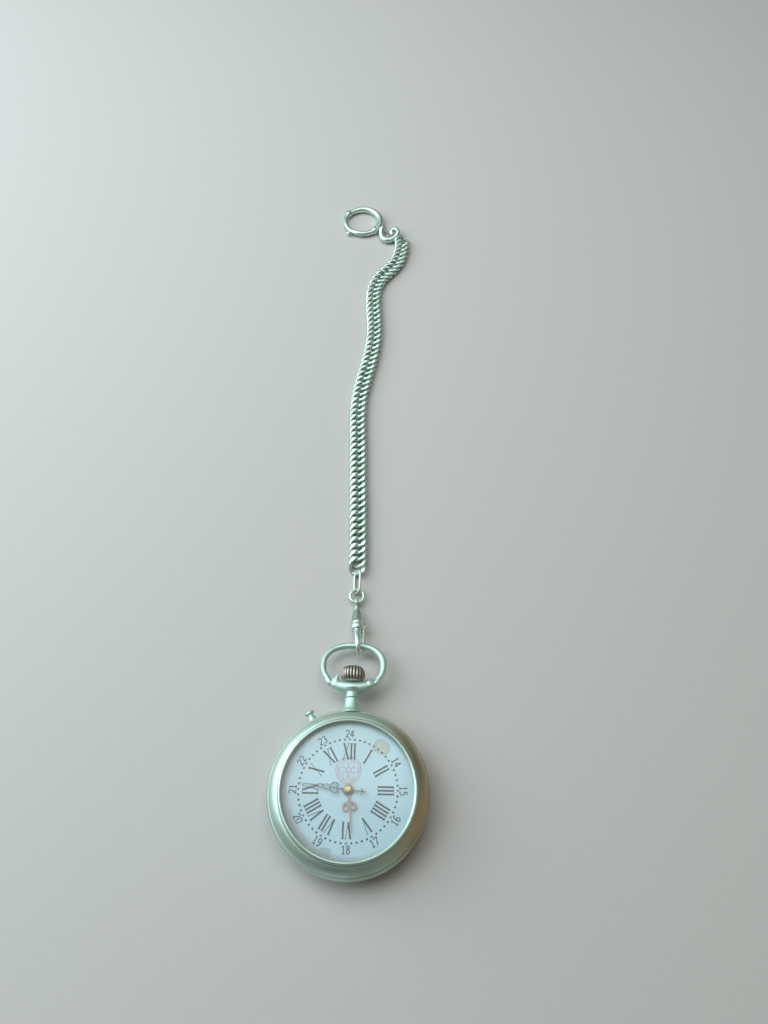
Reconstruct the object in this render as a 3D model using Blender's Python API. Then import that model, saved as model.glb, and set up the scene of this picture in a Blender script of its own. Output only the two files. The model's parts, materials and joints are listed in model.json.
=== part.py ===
# Open-face keyless pocket watch with a pin-set button, its bow, swivel clasp, curb chain and bolt ring.
# Frame: the origin is the centre of the flat resting face of the back, +Z comes out of the dial,
# +Y points to twelve o'clock and along the chain, +X points to three o'clock.
# Every size below is in millimetres. finish() turns a finished mesh into metres.

import math

import bmesh
import bpy
from mathutils import Matrix, Vector

MM = 0.001

# ---- driving sizes -------------------------------------------------------------------------------------
GAP = 0.3  # left between pieces that touch
RUN = 0.15  # left round a pivot or a sliding stem

CASE_R = 27.0  # widest radius of the middle band
OUT = CASE_R - 27.0  # a wider case pushes its fittings, clasp and chain out by this
BAND_Z = 6.6  # height of that widest line and of the winding stem
BACK_FLAT_R = 14.0  # flat that the watch rests on
COVER_TOP_Z = 4.0
COVER_WALL = 0.85
BAND_TOP_Z = 8.8
BEZEL_TOP_Z = 13.4
GLASS_R = 21.5  # clear opening of the bezel
GLASS_TOP_Z = 14.65
DIAL_R = 21.9
DIAL_Z = 10.2
DIAL_T = 0.7
PLATE_R = 22.0
PLATE_Z = 7.8
PLATE_T = 1.4
BRIDGE_Z = 4.4  # back face of the bridges
BRIDGE_T = 0.7
RATCHET_Z = 3.6  # back face of the ratchet and crown wheels
RATCHET_T = 0.6

STEM_R = 0.6
NECK_R = 2.5
NECK_SEAM_Y = 31.0 + OUT
YOKE_Y = 34.6 + OUT  # middle of the yoke's crescent
YOKE_HALF = 7.6  # the bow is 3.1 wider each side
CROWN_R = 4.1
CROWN_Y = 37.0 + OUT
CROWN_LENGTH = 6.0
CROWN_RIBS = 22

BOW_PIVOT_Y = 36.6 + OUT
BOW_WIRE = 2.2
BOW_HALF_WIDTH = YOKE_HALF + 3.1
BOW_HALF_HEIGHT = 7.9
BOW_CENTRE_Y = 43.4 + OUT
BOW_TILT = math.radians(-10)  # the bow lies back towards the table

BUTTON_ANGLE = math.radians(119.4)  # the setting button stands at eleven o'clock
BUTTON_STEM_R = 0.6
BUTTON_HEAD_R = 1.5
BUTTON_TRAVEL = 0.9
BUTTON_REACH = 3.1  # how far its head stands out of the band
BUTTON_LENGTH = 10.1 + OUT

CHAIN_WIDTH = 7.0
CHAIN_THICK = 3.0
CHAIN_POINTS = (
    (-0.1, 82.4),
    (-0.6, 108.5),
    (-1.5, 134.6),
    (-2.1, 160.7),
    (1.6, 182.0),
    (3.6, 202.2),
    (2.7, 219.5),
    (5.2, 231.2),
    (12.4, 240.6),
    (15.6, 258.2),
)
CHAIN_ROUTE = tuple((x, y + OUT) for x, y in CHAIN_POINTS)
RING_R = 8.4  # of the bolt ring
RING_TUBE_R = 1.5
RING_BOLT_R = 0.75
RING_EYE_ANGLE = math.radians(-33)  # where the bolt ring's own eye stands, towards the chain

# ---- going train: teeth, modules and the directions from each arbor to the next --------------------------
BARREL_TEETH = 60
BARREL_MODULE = 0.25
CENTRE_PINION_TEETH = 10
CENTRE_TEETH = 48
CENTRE_MODULE = 0.2
THIRD_PINION_TEETH = 6
THIRD_TEETH = 45
THIRD_MODULE = 0.19
FOURTH_PINION_TEETH = 6
FOURTH_TEETH = 60
FOURTH_MODULE = 0.14
ESCAPE_PINION_TEETH = 6
ESCAPE_TEETH = 15
ESCAPE_R = 3.2
CANNON_TEETH = 10
MINUTE_TEETH = 30
MINUTE_PINION_TEETH = 8
HOUR_TEETH = 32
MOTION_MODULE = 0.22
CROWN_WHEEL_TEETH = 24
RATCHET_TEETH = 36
WINDING_MODULE = 0.27
WINDING_PINION_TEETH = 18

BARREL_DIRECTION = math.radians(125)
THIRD_DIRECTION = math.radians(-25)
FOURTH_DIRECTION = math.radians(-110)
ESCAPE_DIRECTION = math.radians(-170)
MINUTE_DIRECTION = math.radians(60)
BALANCE_XY = (-9.6, -8.2)
BALANCE_R = 6.9
MINUTE_HAND_ANGLE = math.radians(173.4)  # from +X: a little above nine o'clock
HOUR_HAND_ANGLE = math.radians(-83)
HINGE_X = 1.25 - CASE_R  # hinge of the back, at nine o'clock
HINGE_Z = 3.75
HINGE_R = 0.75
HINGE_PIN_R = 0.3

CASE_STEPS = 36
SMALL_STEPS = 16
PIVOT_STEPS = 8

METALS = {
    "nickel": ((0.62, 0.66, 0.60), 0.34, 1.0),
    "nickel_dark": ((0.46, 0.46, 0.42), 0.42, 1.0),
    "brass": ((0.72, 0.55, 0.27), 0.32, 1.0),
    "steel": ((0.52, 0.53, 0.55), 0.28, 1.0),
    "hand_brass": ((0.50, 0.42, 0.27), 0.38, 1.0),
    "enamel": ((0.78, 0.88, 0.90), 0.25, 0.0),
    "glass": ((0.90, 0.95, 0.95), 0.04, 0.0),
}


# ---- helpers ---------------------------------------------------------------------------------------------
def polar(radius, angle, centre=(0.0, 0.0)):
    return (centre[0] + radius * math.cos(angle), centre[1] + radius * math.sin(angle))


def circle(radius, centre=(0.0, 0.0), steps=PIVOT_STEPS):
    return [polar(radius, 2 * math.pi * i / steps, centre) for i in range(steps)]


def material(kind):
    found = bpy.data.materials.get(kind)
    if found:
        return found
    colour, roughness, metallic = METALS[kind]
    made = bpy.data.materials.new(kind)
    made.use_nodes = True
    shader = made.node_tree.nodes["Principled BSDF"]
    shader.inputs["Base Color"].default_value = (*colour, 1.0)
    shader.inputs["Roughness"].default_value = roughness
    shader.inputs["Metallic"].default_value = metallic
    made.diffuse_color = (*colour, 1.0)
    return made


def finish(name, bm, kind, pivot=(0.0, 0.0, 0.0)):
    """Makes an object of a mesh in millimetres, in metres, with its origin on its pivot."""
    bmesh.ops.recalc_face_normals(bm, faces=bm.faces)
    bm.transform(Matrix.Translation(-Vector(pivot)))
    bm.transform(Matrix.Scale(MM, 4))
    mesh = bpy.data.meshes.new(name)
    bm.to_mesh(mesh)
    bm.free()
    mesh.shade_smooth()
    mesh.set_sharp_from_angle(angle=math.radians(35))
    mesh.materials.append(material(kind))
    made = bpy.data.objects.new(name, mesh)
    made.location = Vector(pivot) * MM
    bpy.context.collection.objects.link(made)
    return made


def tool(made):
    """Marks an object that only cuts or joins another one."""
    made.hide_render = True
    made.display_type = "WIRE"
    return made


def combine(target, other, operation):
    modifier = target.modifiers.new(operation.lower() + "_" + other.name, "BOOLEAN")
    modifier.operation = operation
    modifier.solver = "EXACT"
    modifier.object = tool(other)


def along(start, end):
    """A matrix that takes the Z axis to the line from start to end."""
    direction = (Vector(end) - Vector(start)).normalized()
    turn = Vector((0, 0, 1)).rotation_difference(direction)
    return Matrix.Translation(Vector(start)) @ turn.to_matrix().to_4x4()


def lathe(bm, profile, steps, matrix=None):
    """Turns a profile of (radius, height) points about Z. A radius of 0 is a pole; with no pole it is a closed ring."""
    matrix = matrix or Matrix.Identity(4)
    rings = []
    for radius, height in profile:
        if radius == 0:
            rings.append([bm.verts.new(matrix @ Vector((0, 0, height)))])
        else:
            points = circle(radius, steps=steps)
            rings.append([bm.verts.new(matrix @ Vector((x, y, height))) for x, y in points])
    pairs = list(zip(rings, rings[1:]))
    if profile[0][0] != 0:
        pairs.append((rings[-1], rings[0]))
    for low, high in pairs:
        for i in range(steps):
            j = (i + 1) % steps
            corners = [low[i % len(low)], low[j % len(low)], high[j % len(high)], high[i % len(high)]]
            bm.faces.new(list(dict.fromkeys(corners)))


def turned(name, profile, kind, steps=CASE_STEPS, matrix=None, pivot=(0.0, 0.0, 0.0)):
    bm = bmesh.new()
    lathe(bm, profile, steps, matrix)
    return finish(name, bm, kind, pivot)


def rod(name, start, end, radius, steps=SMALL_STEPS, kind="steel"):
    length = (Vector(end) - Vector(start)).length
    profile = [(0, 0), (radius, 0), (radius, length), (0, length)]
    return turned(name, profile, kind, steps, along(start, end))


def ring_of(bm, outline, height):
    return [bm.verts.new((x, y, height)) for x, y in outline]


def wall(bm, low, high):
    for i in range(len(low)):
        j = (i + 1) % len(low)
        bm.faces.new((low[i], low[j], high[j], high[i]))


def fill(bm, loops):
    """Fills the flat region between the first loop and the loops inside it."""
    edges = []
    for loop in loops:
        for a, b in zip(loop, loop[1:] + loop[:1]):
            edges.append(bm.edges.get((a, b)) or bm.edges.new((a, b)))
    bmesh.ops.triangle_fill(bm, edges=edges, use_beauty=True)


def plate(bm, outline, low, high, holes=(), posts=()):
    """A flat plate with through holes and with posts, each an (outline, top height), on its upper face."""
    bottom = ring_of(bm, outline, low)
    top = ring_of(bm, outline, high)
    wall(bm, bottom, top)
    bottom_loops = [bottom]
    top_loops = [top]
    for hole in holes:
        bottom_loops.append(ring_of(bm, hole, low))
        top_loops.append(ring_of(bm, hole, high))
        wall(bm, bottom_loops[-1], top_loops[-1])
    for post_outline, post_top in posts:
        foot = ring_of(bm, post_outline, high)
        head = ring_of(bm, post_outline, post_top)
        wall(bm, foot, head)
        bm.faces.new(head)
        top_loops.append(foot)
    fill(bm, bottom_loops)
    fill(bm, top_loops)


def stack(bm, sections):
    """Coaxial prisms, each an (outline, low, high), one on the next, with flat steps between them."""
    below = None
    for outline, low, high in sections:
        foot = ring_of(bm, outline, low)
        head = ring_of(bm, outline, high)
        wall(bm, foot, head)
        if below:
            fill(bm, [below, foot])
        else:
            bm.faces.new(foot)
        below = head
    bm.faces.new(below)


def gear(teeth, module, phase, centre=(0.0, 0.0), addendum=0.9, dedendum=1.15, share=0.6, rake=0.0):
    """A wheel's outline with pointed teeth: one stands at the angle phase."""
    pitch = 2 * math.pi / teeth
    radius = teeth * module / 2
    points = []
    for i in range(teeth):
        angle = phase + i * pitch
        points.append(polar(radius - dedendum * module, angle - share * pitch / 2, centre))
        points.append(polar(radius + addendum * module, angle + rake * pitch, centre))
        points.append(polar(radius - dedendum * module, angle + share * pitch / 2, centre))
    return points


def mating_phase(phase, teeth, other_teeth, direction):
    """The phase of a second wheel, in the given direction, that puts its gaps on the first wheel's teeth."""
    offset = (direction - phase) * teeth / (2 * math.pi) % 1.0
    return direction + math.pi + (offset + 0.5) * 2 * math.pi / other_teeth


def tube(name, points, radii, kind, sides=2, cyclic=False, pivot=(0.0, 0.0, 0.0)):
    """A round wire through points, with a radius at each of them and filled ends."""
    curve = bpy.data.curves.new(name, "CURVE")
    curve.dimensions = "3D"
    curve.bevel_depth = MM
    curve.bevel_resolution = sides
    curve.use_fill_caps = True
    spline = curve.splines.new("POLY")
    spline.points.add(len(points) - 1)
    spline.use_cyclic_u = cyclic
    for point, place, radius in zip(spline.points, points, radii):
        point.co = (*((Vector(place) - Vector(pivot)) * MM), 1.0)
        point.radius = radius
    wire = bpy.data.objects.new(name + "_curve", curve)
    bm = bmesh.new()
    bm.from_mesh(bpy.data.meshes.new_from_object(wire))
    bpy.data.objects.remove(wire)
    bmesh.ops.remove_doubles(bm, verts=bm.verts, dist=1e-4 * MM)
    bm.transform(Matrix.Scale(1 / MM, 4))
    bm.transform(Matrix.Translation(Vector(pivot)))
    return finish(name, bm, kind, pivot)


def loop_wire(name, centre, half_length, half_width, wire, kind, steps=16, pivot=None):
    """A closed link with straight sides and round ends; half_length and half_width are vectors in its plane."""
    straight = 1 - Vector(half_width).length / Vector(half_length).length
    points = []
    for i in range(steps):
        angle = 2 * math.pi * (i + 0.5) / steps
        share = math.copysign(straight, math.cos(angle)) + (1 - straight) * math.cos(angle)
        points.append(Vector(centre) + Vector(half_length) * share + Vector(half_width) * math.sin(angle))
    return tube(name, points, [wire] * steps, kind, cyclic=True, pivot=pivot or centre)


# ---- places that several pieces share ---------------------------------------------------------------------
BARREL_DISTANCE = (BARREL_TEETH + CENTRE_PINION_TEETH) * BARREL_MODULE / 2
THIRD_DISTANCE = (CENTRE_TEETH + THIRD_PINION_TEETH) * CENTRE_MODULE / 2
FOURTH_DISTANCE = (THIRD_TEETH + FOURTH_PINION_TEETH) * THIRD_MODULE / 2
ESCAPE_DISTANCE = (FOURTH_TEETH + ESCAPE_PINION_TEETH) * FOURTH_MODULE / 2
MINUTE_DISTANCE = (CANNON_TEETH + MINUTE_TEETH) * MOTION_MODULE / 2
BARREL_XY = polar(BARREL_DISTANCE, BARREL_DIRECTION)
THIRD_XY = polar(THIRD_DISTANCE, THIRD_DIRECTION)
FOURTH_XY = polar(FOURTH_DISTANCE, FOURTH_DIRECTION, THIRD_XY)
ESCAPE_XY = polar(ESCAPE_DISTANCE, ESCAPE_DIRECTION, FOURTH_XY)
MINUTE_XY = polar(MINUTE_DISTANCE, MINUTE_DIRECTION)
WINDING_DISTANCE = (CROWN_WHEEL_TEETH + RATCHET_TEETH) * WINDING_MODULE / 2
CROWN_WHEEL_Y = BARREL_XY[1] + math.sqrt(WINDING_DISTANCE**2 - BARREL_XY[0] ** 2)
CROWN_WHEEL_XY = (0.0, CROWN_WHEEL_Y)
CROWN_WHEEL_ROOT = CROWN_WHEEL_TEETH * WINDING_MODULE / 2 - 1.15 * WINDING_MODULE
PINION_Y = CROWN_WHEEL_Y + CROWN_WHEEL_ROOT + 0.12
PINION_LENGTH = 1.1
PALLET_TO_BALANCE = 4.0
ESCAPE_TO_BALANCE = math.dist(ESCAPE_XY, BALANCE_XY)
LINE_ANGLE = math.atan2(BALANCE_XY[1] - ESCAPE_XY[1], BALANCE_XY[0] - ESCAPE_XY[0])
PALLET_XY = polar(ESCAPE_TO_BALANCE - PALLET_TO_BALANCE, LINE_ANGLE, ESCAPE_XY)
COCK_FOOT_XY = polar(9.2, math.radians(130), BALANCE_XY)
LEVER_XY = (-12.4, 13.2)
RING_EYE_XY = (5.67698, 264.14558 + OUT)
RING_CENTRE = polar(-RING_R - 2.9, RING_EYE_ANGLE, RING_EYE_XY)
CASE_SCREW_XY = polar(20.0, math.radians(20))
CASE_SCREW_R = 0.45
BUTTON_DIRECTION = Vector((math.cos(BUTTON_ANGLE), math.sin(BUTTON_ANGLE), 0))
TRAIN_LOW = BRIDGE_Z + BRIDGE_T + 0.1
TRAIN_HIGH = PLATE_Z - 0.1
PIVOT_R = 0.2
BORE_R = PIVOT_R + RUN
STEM_BORE_R = STEM_R + 0.4
BAND_LOW_Z = COVER_TOP_Z + GAP
BEZEL_LOW_Z = BAND_TOP_Z + GAP


def cover_height(radius):
    """The outer surface of the back rises from its flat as a parabola."""
    share = max(0.0, radius - BACK_FLAT_R) / (CASE_R - 0.8 - BACK_FLAT_R)
    return COVER_TOP_Z * share**2


def band_radius(height):
    """The middle band bulges out to its widest line."""
    fall = 0.8 if height < BAND_Z else 0.65
    return CASE_R - fall * ((height - BAND_Z) / 2.3) ** 2


BAND_HEIGHTS = (BAND_LOW_Z, 5.3, BAND_Z, 7.8, BAND_TOP_Z)
COVER_RADII = (BACK_FLAT_R, 17.5, 20.5, 23.0, 25.0, CASE_R - 0.8)
BEZEL_OUTER = (
    (CASE_R - 1.0, BEZEL_LOW_Z),
    (CASE_R - 1.35, 10.1),
    (CASE_R - 2.4, 11.35),
    (CASE_R - 3.5, 12.2),
    (GLASS_R + 1.15, 12.6),
)


# ---- case ------------------------------------------------------------------------------------------------
def case_envelope(gap):
    """The outside of the closed case, grown by gap, for cutting what stands on it."""
    profile = [(0, -gap)]
    profile += [(r + gap, cover_height(r)) for r in COVER_RADII]
    profile += [(band_radius(z) + gap, z) for z in BAND_HEIGHTS]
    profile += [(r + gap, z) for r, z in BEZEL_OUTER]
    profile += [(0, BEZEL_TOP_Z)]
    return profile


def hinge_tool(name, radius, low, high):
    return rod(name, (HINGE_X, low, HINGE_Z), (HINGE_X, high, HINGE_Z), radius)


def case_middle():
    ledge_r = PLATE_R - 1.0
    inner_r = PLATE_R + 0.4
    profile = [(band_radius(z), z) for z in BAND_HEIGHTS]
    profile += [(23.4, BAND_TOP_Z), (23.4, BAND_TOP_Z + 1.1), (inner_r, BAND_TOP_Z + 1.1)]
    profile += [(inner_r, PLATE_Z - GAP), (ledge_r, PLATE_Z - GAP), (ledge_r, PLATE_Z - 1.1)]
    profile += [(inner_r, PLATE_Z - 1.1), (inner_r, BAND_LOW_Z)]
    made = turned("case_middle", profile, "nickel")
    stem_hole = rod("stem_hole", (0, PLATE_R - 3, BAND_Z), (0, CASE_R + 2, BAND_Z), STEM_BORE_R, 14)
    combine(made, stem_hole, "DIFFERENCE")
    start = BUTTON_DIRECTION * (PLATE_R - 3) + Vector((0, 0, BAND_Z))
    end = BUTTON_DIRECTION * (CASE_R + 2) + Vector((0, 0, BAND_Z))
    combine(made, rod("button_hole", start, end, BUTTON_STEM_R + GAP, 10), "DIFFERENCE")
    combine(made, hinge_tool("middle_notch", HINGE_R + GAP, -1.3, 1.3), "DIFFERENCE")
    combine(made, hinge_tool("knuckle_low", HINGE_R, -3.3, -1.4), "UNION")
    combine(made, hinge_tool("knuckle_high", HINGE_R, 1.4, 3.3), "UNION")
    combine(made, hinge_tool("middle_bore", HINGE_PIN_R + RUN, -4, 4), "DIFFERENCE")


def back_cover():
    outer = [(r, cover_height(r)) for r in COVER_RADII]
    inner = [(CASE_R - 1.7, COVER_TOP_Z)]
    inner += [(r - 0.75, cover_height(r) + COVER_WALL - 0.1) for r in reversed(COVER_RADII[1:-1])]
    profile = [(0, 0)] + outer + inner + [(BACK_FLAT_R - 0.5, COVER_WALL), (0, COVER_WALL)]
    pivot = (HINGE_X, 0, HINGE_Z)
    made = turned("back_cover", profile, "nickel", pivot=pivot)
    combine(made, hinge_tool("cover_notch_low", HINGE_R + GAP, -3.6, -1.0), "DIFFERENCE")
    combine(made, hinge_tool("cover_notch_high", HINGE_R + GAP, 1.0, 3.6), "DIFFERENCE")
    combine(made, hinge_tool("cover_knuckle", HINGE_R, -1.0, 1.0), "UNION")
    combine(made, hinge_tool("cover_bore", HINGE_PIN_R + RUN, -4, 4), "DIFFERENCE")


def cover_hinge_pin():
    rod("cover_hinge_pin", (HINGE_X, -3.3, HINGE_Z), (HINGE_X, 3.3, HINGE_Z), HINGE_PIN_R, 12)


def bezel():
    upstand_r = 23.7
    seat_r = GLASS_R + 0.8
    profile = list(BEZEL_OUTER)
    profile += [(GLASS_R + 0.9, BEZEL_TOP_Z - 0.15), (GLASS_R + 0.4, BEZEL_TOP_Z)]
    profile += [(GLASS_R, BEZEL_TOP_Z - 0.4), (seat_r, BEZEL_TOP_Z - 0.4), (seat_r, 11.7)]
    profile += [(GLASS_R + 0.1, 11.7), (GLASS_R + 0.1, 11.2), (PLATE_R + 0.4, 11.2)]
    profile += [(PLATE_R + 0.4, 10.2), (upstand_r, 10.2), (upstand_r, BEZEL_LOW_Z)]
    turned("bezel", profile, "nickel")


def crystal():
    edge_r = GLASS_R + 0.5
    top = GLASS_TOP_Z
    outer = [(edge_r, 12.7), (GLASS_R - 0.4, 12.75), (20.2, 13.3), (16.0, 14.05), (8.0, top - 0.12)]
    inner = [(8.0, top - 0.9), (15.0, top - 1.35), (19.8, 12.6), (20.8, 12.0), (edge_r, 12.0)]
    turned("crystal", [(0, top - 0.8)] + inner + outer + [(0, top)], "glass")


def pendant_tube():
    """The sleeve that stands on the band, flared where it meets the case."""
    bore = STEM_BORE_R + 0.1
    profile = [(bore, 25.4), (3.6, 25.4), (3.4, 26.8), (2.95, 27.4), (2.7, 28.4), (NECK_R + 0.1, 29.6)]
    profile = [(radius, height + OUT) for radius, height in profile]
    profile += [(NECK_R, NECK_SEAM_Y), (bore, NECK_SEAM_Y)]
    made = turned("pendant_tube", profile, "nickel", 20, along((0, 0, BAND_Z), (0, 1, BAND_Z)))
    combine(made, turned("tube_seat", case_envelope(GAP), "nickel"), "DIFFERENCE")


def crown_envelope(gap):
    profile = [(0, -gap), (2.6 + gap, -gap), (3.7 + gap, 0.9), (CROWN_R + gap, 2.8)]
    return profile + [(CROWN_R + gap, CROWN_LENGTH + 4), (0, CROWN_LENGTH + 4)]


def pendant_yoke():
    """The upper neck, which opens into a crescent whose two ears carry the bow."""
    bore = STEM_BORE_R + 0.1
    neck_r = NECK_R - 0.2
    neck = [(0, NECK_SEAM_Y + GAP), (neck_r, NECK_SEAM_Y + GAP), (neck_r, YOKE_Y - 1.4), (neck_r + 0.4, YOKE_Y)]
    made = turned("pendant_yoke", neck + [(0, YOKE_Y)], "nickel", 20, along((0, 0, BAND_Z), (0, 1, BAND_Z)))
    points = []
    radii = []
    for i in range(11):
        share = -1 + i / 5
        points.append((YOKE_HALF * share, YOKE_Y + (BOW_PIVOT_Y - YOKE_Y) * share**2, BAND_Z))
        radii.append(2.45 - 0.95 * share**2)
    combine(made, tube("crescent", points, radii, "nickel", sides=3), "UNION")
    for side, label in ((-1, "left"), (1, "right")):
        start = (side * (YOKE_HALF - 1.8), BOW_PIVOT_Y, BAND_Z)
        end = (side * (YOKE_HALF + 3), BOW_PIVOT_Y, BAND_Z)
        combine(made, rod("socket_" + label, start, end, 0.9, 12), "DIFFERENCE")
    crown_seat = turned("crown_seat", crown_envelope(GAP), "nickel", 24, along((0, CROWN_Y, BAND_Z), (0, 99, BAND_Z)))
    combine(made, crown_seat, "DIFFERENCE")
    combine(made, rod("yoke_bore", (0, 30 + OUT, BAND_Z), (0, 40 + OUT, BAND_Z), bore), "DIFFERENCE")


def tilted(x, y):
    """A point of the bow's own plane, turned back about its pivot."""
    reach = y - BOW_PIVOT_Y
    return (x, BOW_PIVOT_Y + reach * math.cos(BOW_TILT), BAND_Z + reach * math.sin(BOW_TILT))


def bow():
    """An oval wire whose two studs turn in the sockets of the yoke."""
    wire = BOW_WIRE / 2
    stud_end = YOKE_HALF - 1.4
    left = [(-stud_end, BOW_PIVOT_Y, 0.6), (-YOKE_HALF - 0.6, BOW_PIVOT_Y, 0.6)]
    left += [(-YOKE_HALF - 0.7, BOW_PIVOT_Y, wire), (-YOKE_HALF - 1.4, BOW_PIVOT_Y + 0.3, wire)]
    oval = []
    steps = 20
    for i in range(steps + 1):
        angle = math.radians(218 - 256 * i / steps)
        power = 2 / 2.35
        x = BOW_HALF_WIDTH * math.copysign(abs(math.cos(angle)) ** power, math.cos(angle))
        y = BOW_HALF_HEIGHT * math.copysign(abs(math.sin(angle)) ** power, math.sin(angle))
        oval.append((x, BOW_CENTRE_Y + y, wire))
    right = [(-x, y, r) for x, y, r in reversed(left)]
    route = left + oval + right
    points = [tilted(x, y) for x, y, r in route]
    tube("bow", points, [r for x, y, r in route], "nickel", pivot=(0, BOW_PIVOT_Y, BAND_Z))


def crown():
    """An onion crown with ribs and a blind bore for the stem."""
    heights = ((2.6, 0), (3.7, 0.9), (CROWN_R, 2.6), (3.85, 4.1), (2.9, 5.4))
    matrix = along((0, CROWN_Y, BAND_Z), (0, 99, BAND_Z))
    bm = bmesh.new()
    rings = []
    for radius, height in heights:
        outline = []
        for i in range(CROWN_RIBS):
            angle = 2 * math.pi * i / CROWN_RIBS
            outline.append(polar(radius, angle))
            outline.append(polar(radius - 0.35, angle + math.pi / CROWN_RIBS))
        rings.append([bm.verts.new(matrix @ Vector((x, y, height))) for x, y in outline])
    for low, high in zip(rings, rings[1:]):
        wall(bm, low, high)
    tip = bm.verts.new(matrix @ Vector((0, 0, CROWN_LENGTH)))
    count = 2 * CROWN_RIBS
    for i in range(count):
        bm.faces.new((rings[-1][i], rings[-1][(i + 1) % count], tip))
    bm.faces.new(rings[0])
    made = finish("crown", bm, "nickel_dark", (0, CROWN_Y, BAND_Z))
    bore = rod("crown_bore", (0, CROWN_Y - 1, BAND_Z), (0, CROWN_Y + 3.2, BAND_Z), STEM_R + GAP, 12)
    combine(made, bore, "DIFFERENCE")


def winding_stem():
    pinion_r = 2.43
    rod("winding_stem", (0, 15.2, BAND_Z), (0, CROWN_Y + 2.9, BAND_Z), STEM_R, 12)
    bm = bmesh.new()
    module = 2 * pinion_r / WINDING_PINION_TEETH
    outline = gear(WINDING_PINION_TEETH, module, -math.pi / 2, addendum=1.0, share=0.55)
    plate(bm, outline, PINION_Y, PINION_Y + PINION_LENGTH, [circle(STEM_R + RUN, steps=12)])
    bm.transform(Matrix.Translation((0, 0, BAND_Z)) @ Matrix.Rotation(-math.pi / 2, 4, "X"))
    finish("winding_pinion", bm, "steel", (0, CROWN_Y, BAND_Z))


def set_button():
    """The pin-set button, which is pushed in to set the hands, and the sleeve that it slides in."""
    inward = -BUTTON_DIRECTION
    head = BUTTON_DIRECTION * (CASE_R + BUTTON_REACH) + Vector((0, 0, BAND_Z))
    profile = [(0, 0), (1.1, 0.1), (BUTTON_HEAD_R, 0.6), (BUTTON_HEAD_R, 1.0), (BUTTON_STEM_R, 1.1)]
    profile += [(BUTTON_STEM_R, BUTTON_LENGTH), (0, BUTTON_LENGTH)]
    turned("set_button", profile, "nickel", SMALL_STEPS, along(head, head + inward), head)
    foot = BUTTON_DIRECTION * (CASE_R - 1) + Vector((0, 0, BAND_Z))
    bore = BUTTON_STEM_R + GAP
    height = BUTTON_REACH - BUTTON_TRAVEL - 0.15
    sleeve = [(bore, 0), (1.7, 0), (1.45, height - 0.6), (1.2, height), (bore, height)]
    made = turned("set_button_tube", sleeve, "nickel", SMALL_STEPS, along(foot, foot - inward))
    combine(made, turned("button_seat", case_envelope(GAP), "nickel"), "DIFFERENCE")


def case_screw():
    """The screw in the main plate whose head holds the movement on the ledge of the band."""
    screw("case_screw", *CASE_SCREW_XY, PLATE_Z - 1.0, PLATE_Z + 1.2, 0.75, CASE_SCREW_R)


def screw(name, x, y, low, high, head_r, shank_r, head_t=0.5):
    profile = [(0, low), (head_r, low), (head_r, low + head_t), (shank_r, low + head_t), (shank_r, high), (0, high)]
    turned(name, profile, "steel", 10, Matrix.Translation((x, y, 0)))


# ---- movement --------------------------------------------------------------------------------------------
SCREW_HOLES = {
    "barrel_bridge_screw_left": (-15.6, 9.6),
    "barrel_bridge_screw_right": (13.6, 9.2),
    "train_bridge_screw": (15.6, -4.0),
    "balance_cock_screw": COCK_FOOT_XY,
}
SCREW_SHANK_R = 0.5
POST_R = 1.7


def pinion_window(half_width):
    """The slot in a plate that the winding pinion turns in."""
    low = PINION_Y - 0.3
    high = PINION_Y + PINION_LENGTH + 0.3
    return [(-half_width, low), (half_width, low), (half_width, high), (-half_width, high)]


def main_plate():
    holes = [circle(BORE_R, xy) for xy in (BARREL_XY, THIRD_XY, FOURTH_XY, ESCAPE_XY, PALLET_XY, BALANCE_XY)]
    holes.append(circle(0.5 + RUN, steps=12))
    holes.append(circle(BORE_R, LEVER_XY))
    holes.append(circle(BORE_R, MINUTE_XY))
    holes += [circle(SCREW_SHANK_R + RUN, xy) for xy in SCREW_HOLES.values()]
    holes.append(circle(CASE_SCREW_R + RUN, CASE_SCREW_XY))
    holes.append(pinion_window(2.9))
    bm = bmesh.new()
    plate(bm, circle(PLATE_R, steps=CASE_STEPS), PLATE_Z, PLATE_Z + PLATE_T, holes)
    finish("main_plate", bm, "brass")


def bridge_outline(radius, start, end, inner, steps=9):
    """An arc near the rim of the movement, closed through the inner points."""
    arc = [polar(radius, math.radians(start + (end - start) * i / steps)) for i in range(steps + 1)]
    return arc + list(inner)


def bridges():
    top = BRIDGE_Z + BRIDGE_T
    post_top = PLATE_Z - 0.1
    bm = bmesh.new()
    outline = bridge_outline(20.2, 10, 168, [(-14.0, 3.0), (14.0, 3.0)])
    holes = [circle(0.9 + RUN, BARREL_XY, 12), circle(0.7 + RUN, CROWN_WHEEL_XY, 12), pinion_window(2.3)]
    posts = [(circle(POST_R, SCREW_HOLES[n], 10), post_top) for n in list(SCREW_HOLES)[:2]]
    plate(bm, outline, BRIDGE_Z, top, holes, posts)
    made = finish("barrel_bridge", bm, "nickel_dark")
    bore_screws(made, list(SCREW_HOLES)[:2], BRIDGE_Z)
    bm = bmesh.new()
    inner = [(3.5, -19.6), (-3.6, -12.0), (-3.8, -6.4), (-2.2, -1.4), (-2.0, 1.9), (16.0, 1.9)]
    outline = bridge_outline(20.2, 4, -78, inner)
    holes = [circle(BORE_R, xy) for xy in ((0, 0), THIRD_XY, FOURTH_XY, ESCAPE_XY)]
    posts = [(circle(POST_R, SCREW_HOLES["train_bridge_screw"], 10), post_top)]
    posts.append((circle(POST_R, (9.0, -16.0), 10), post_top))
    plate(bm, outline, BRIDGE_Z, top, holes, posts)
    made = finish("train_bridge", bm, "nickel_dark")
    bore_screws(made, ["train_bridge_screw"], BRIDGE_Z)


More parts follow.
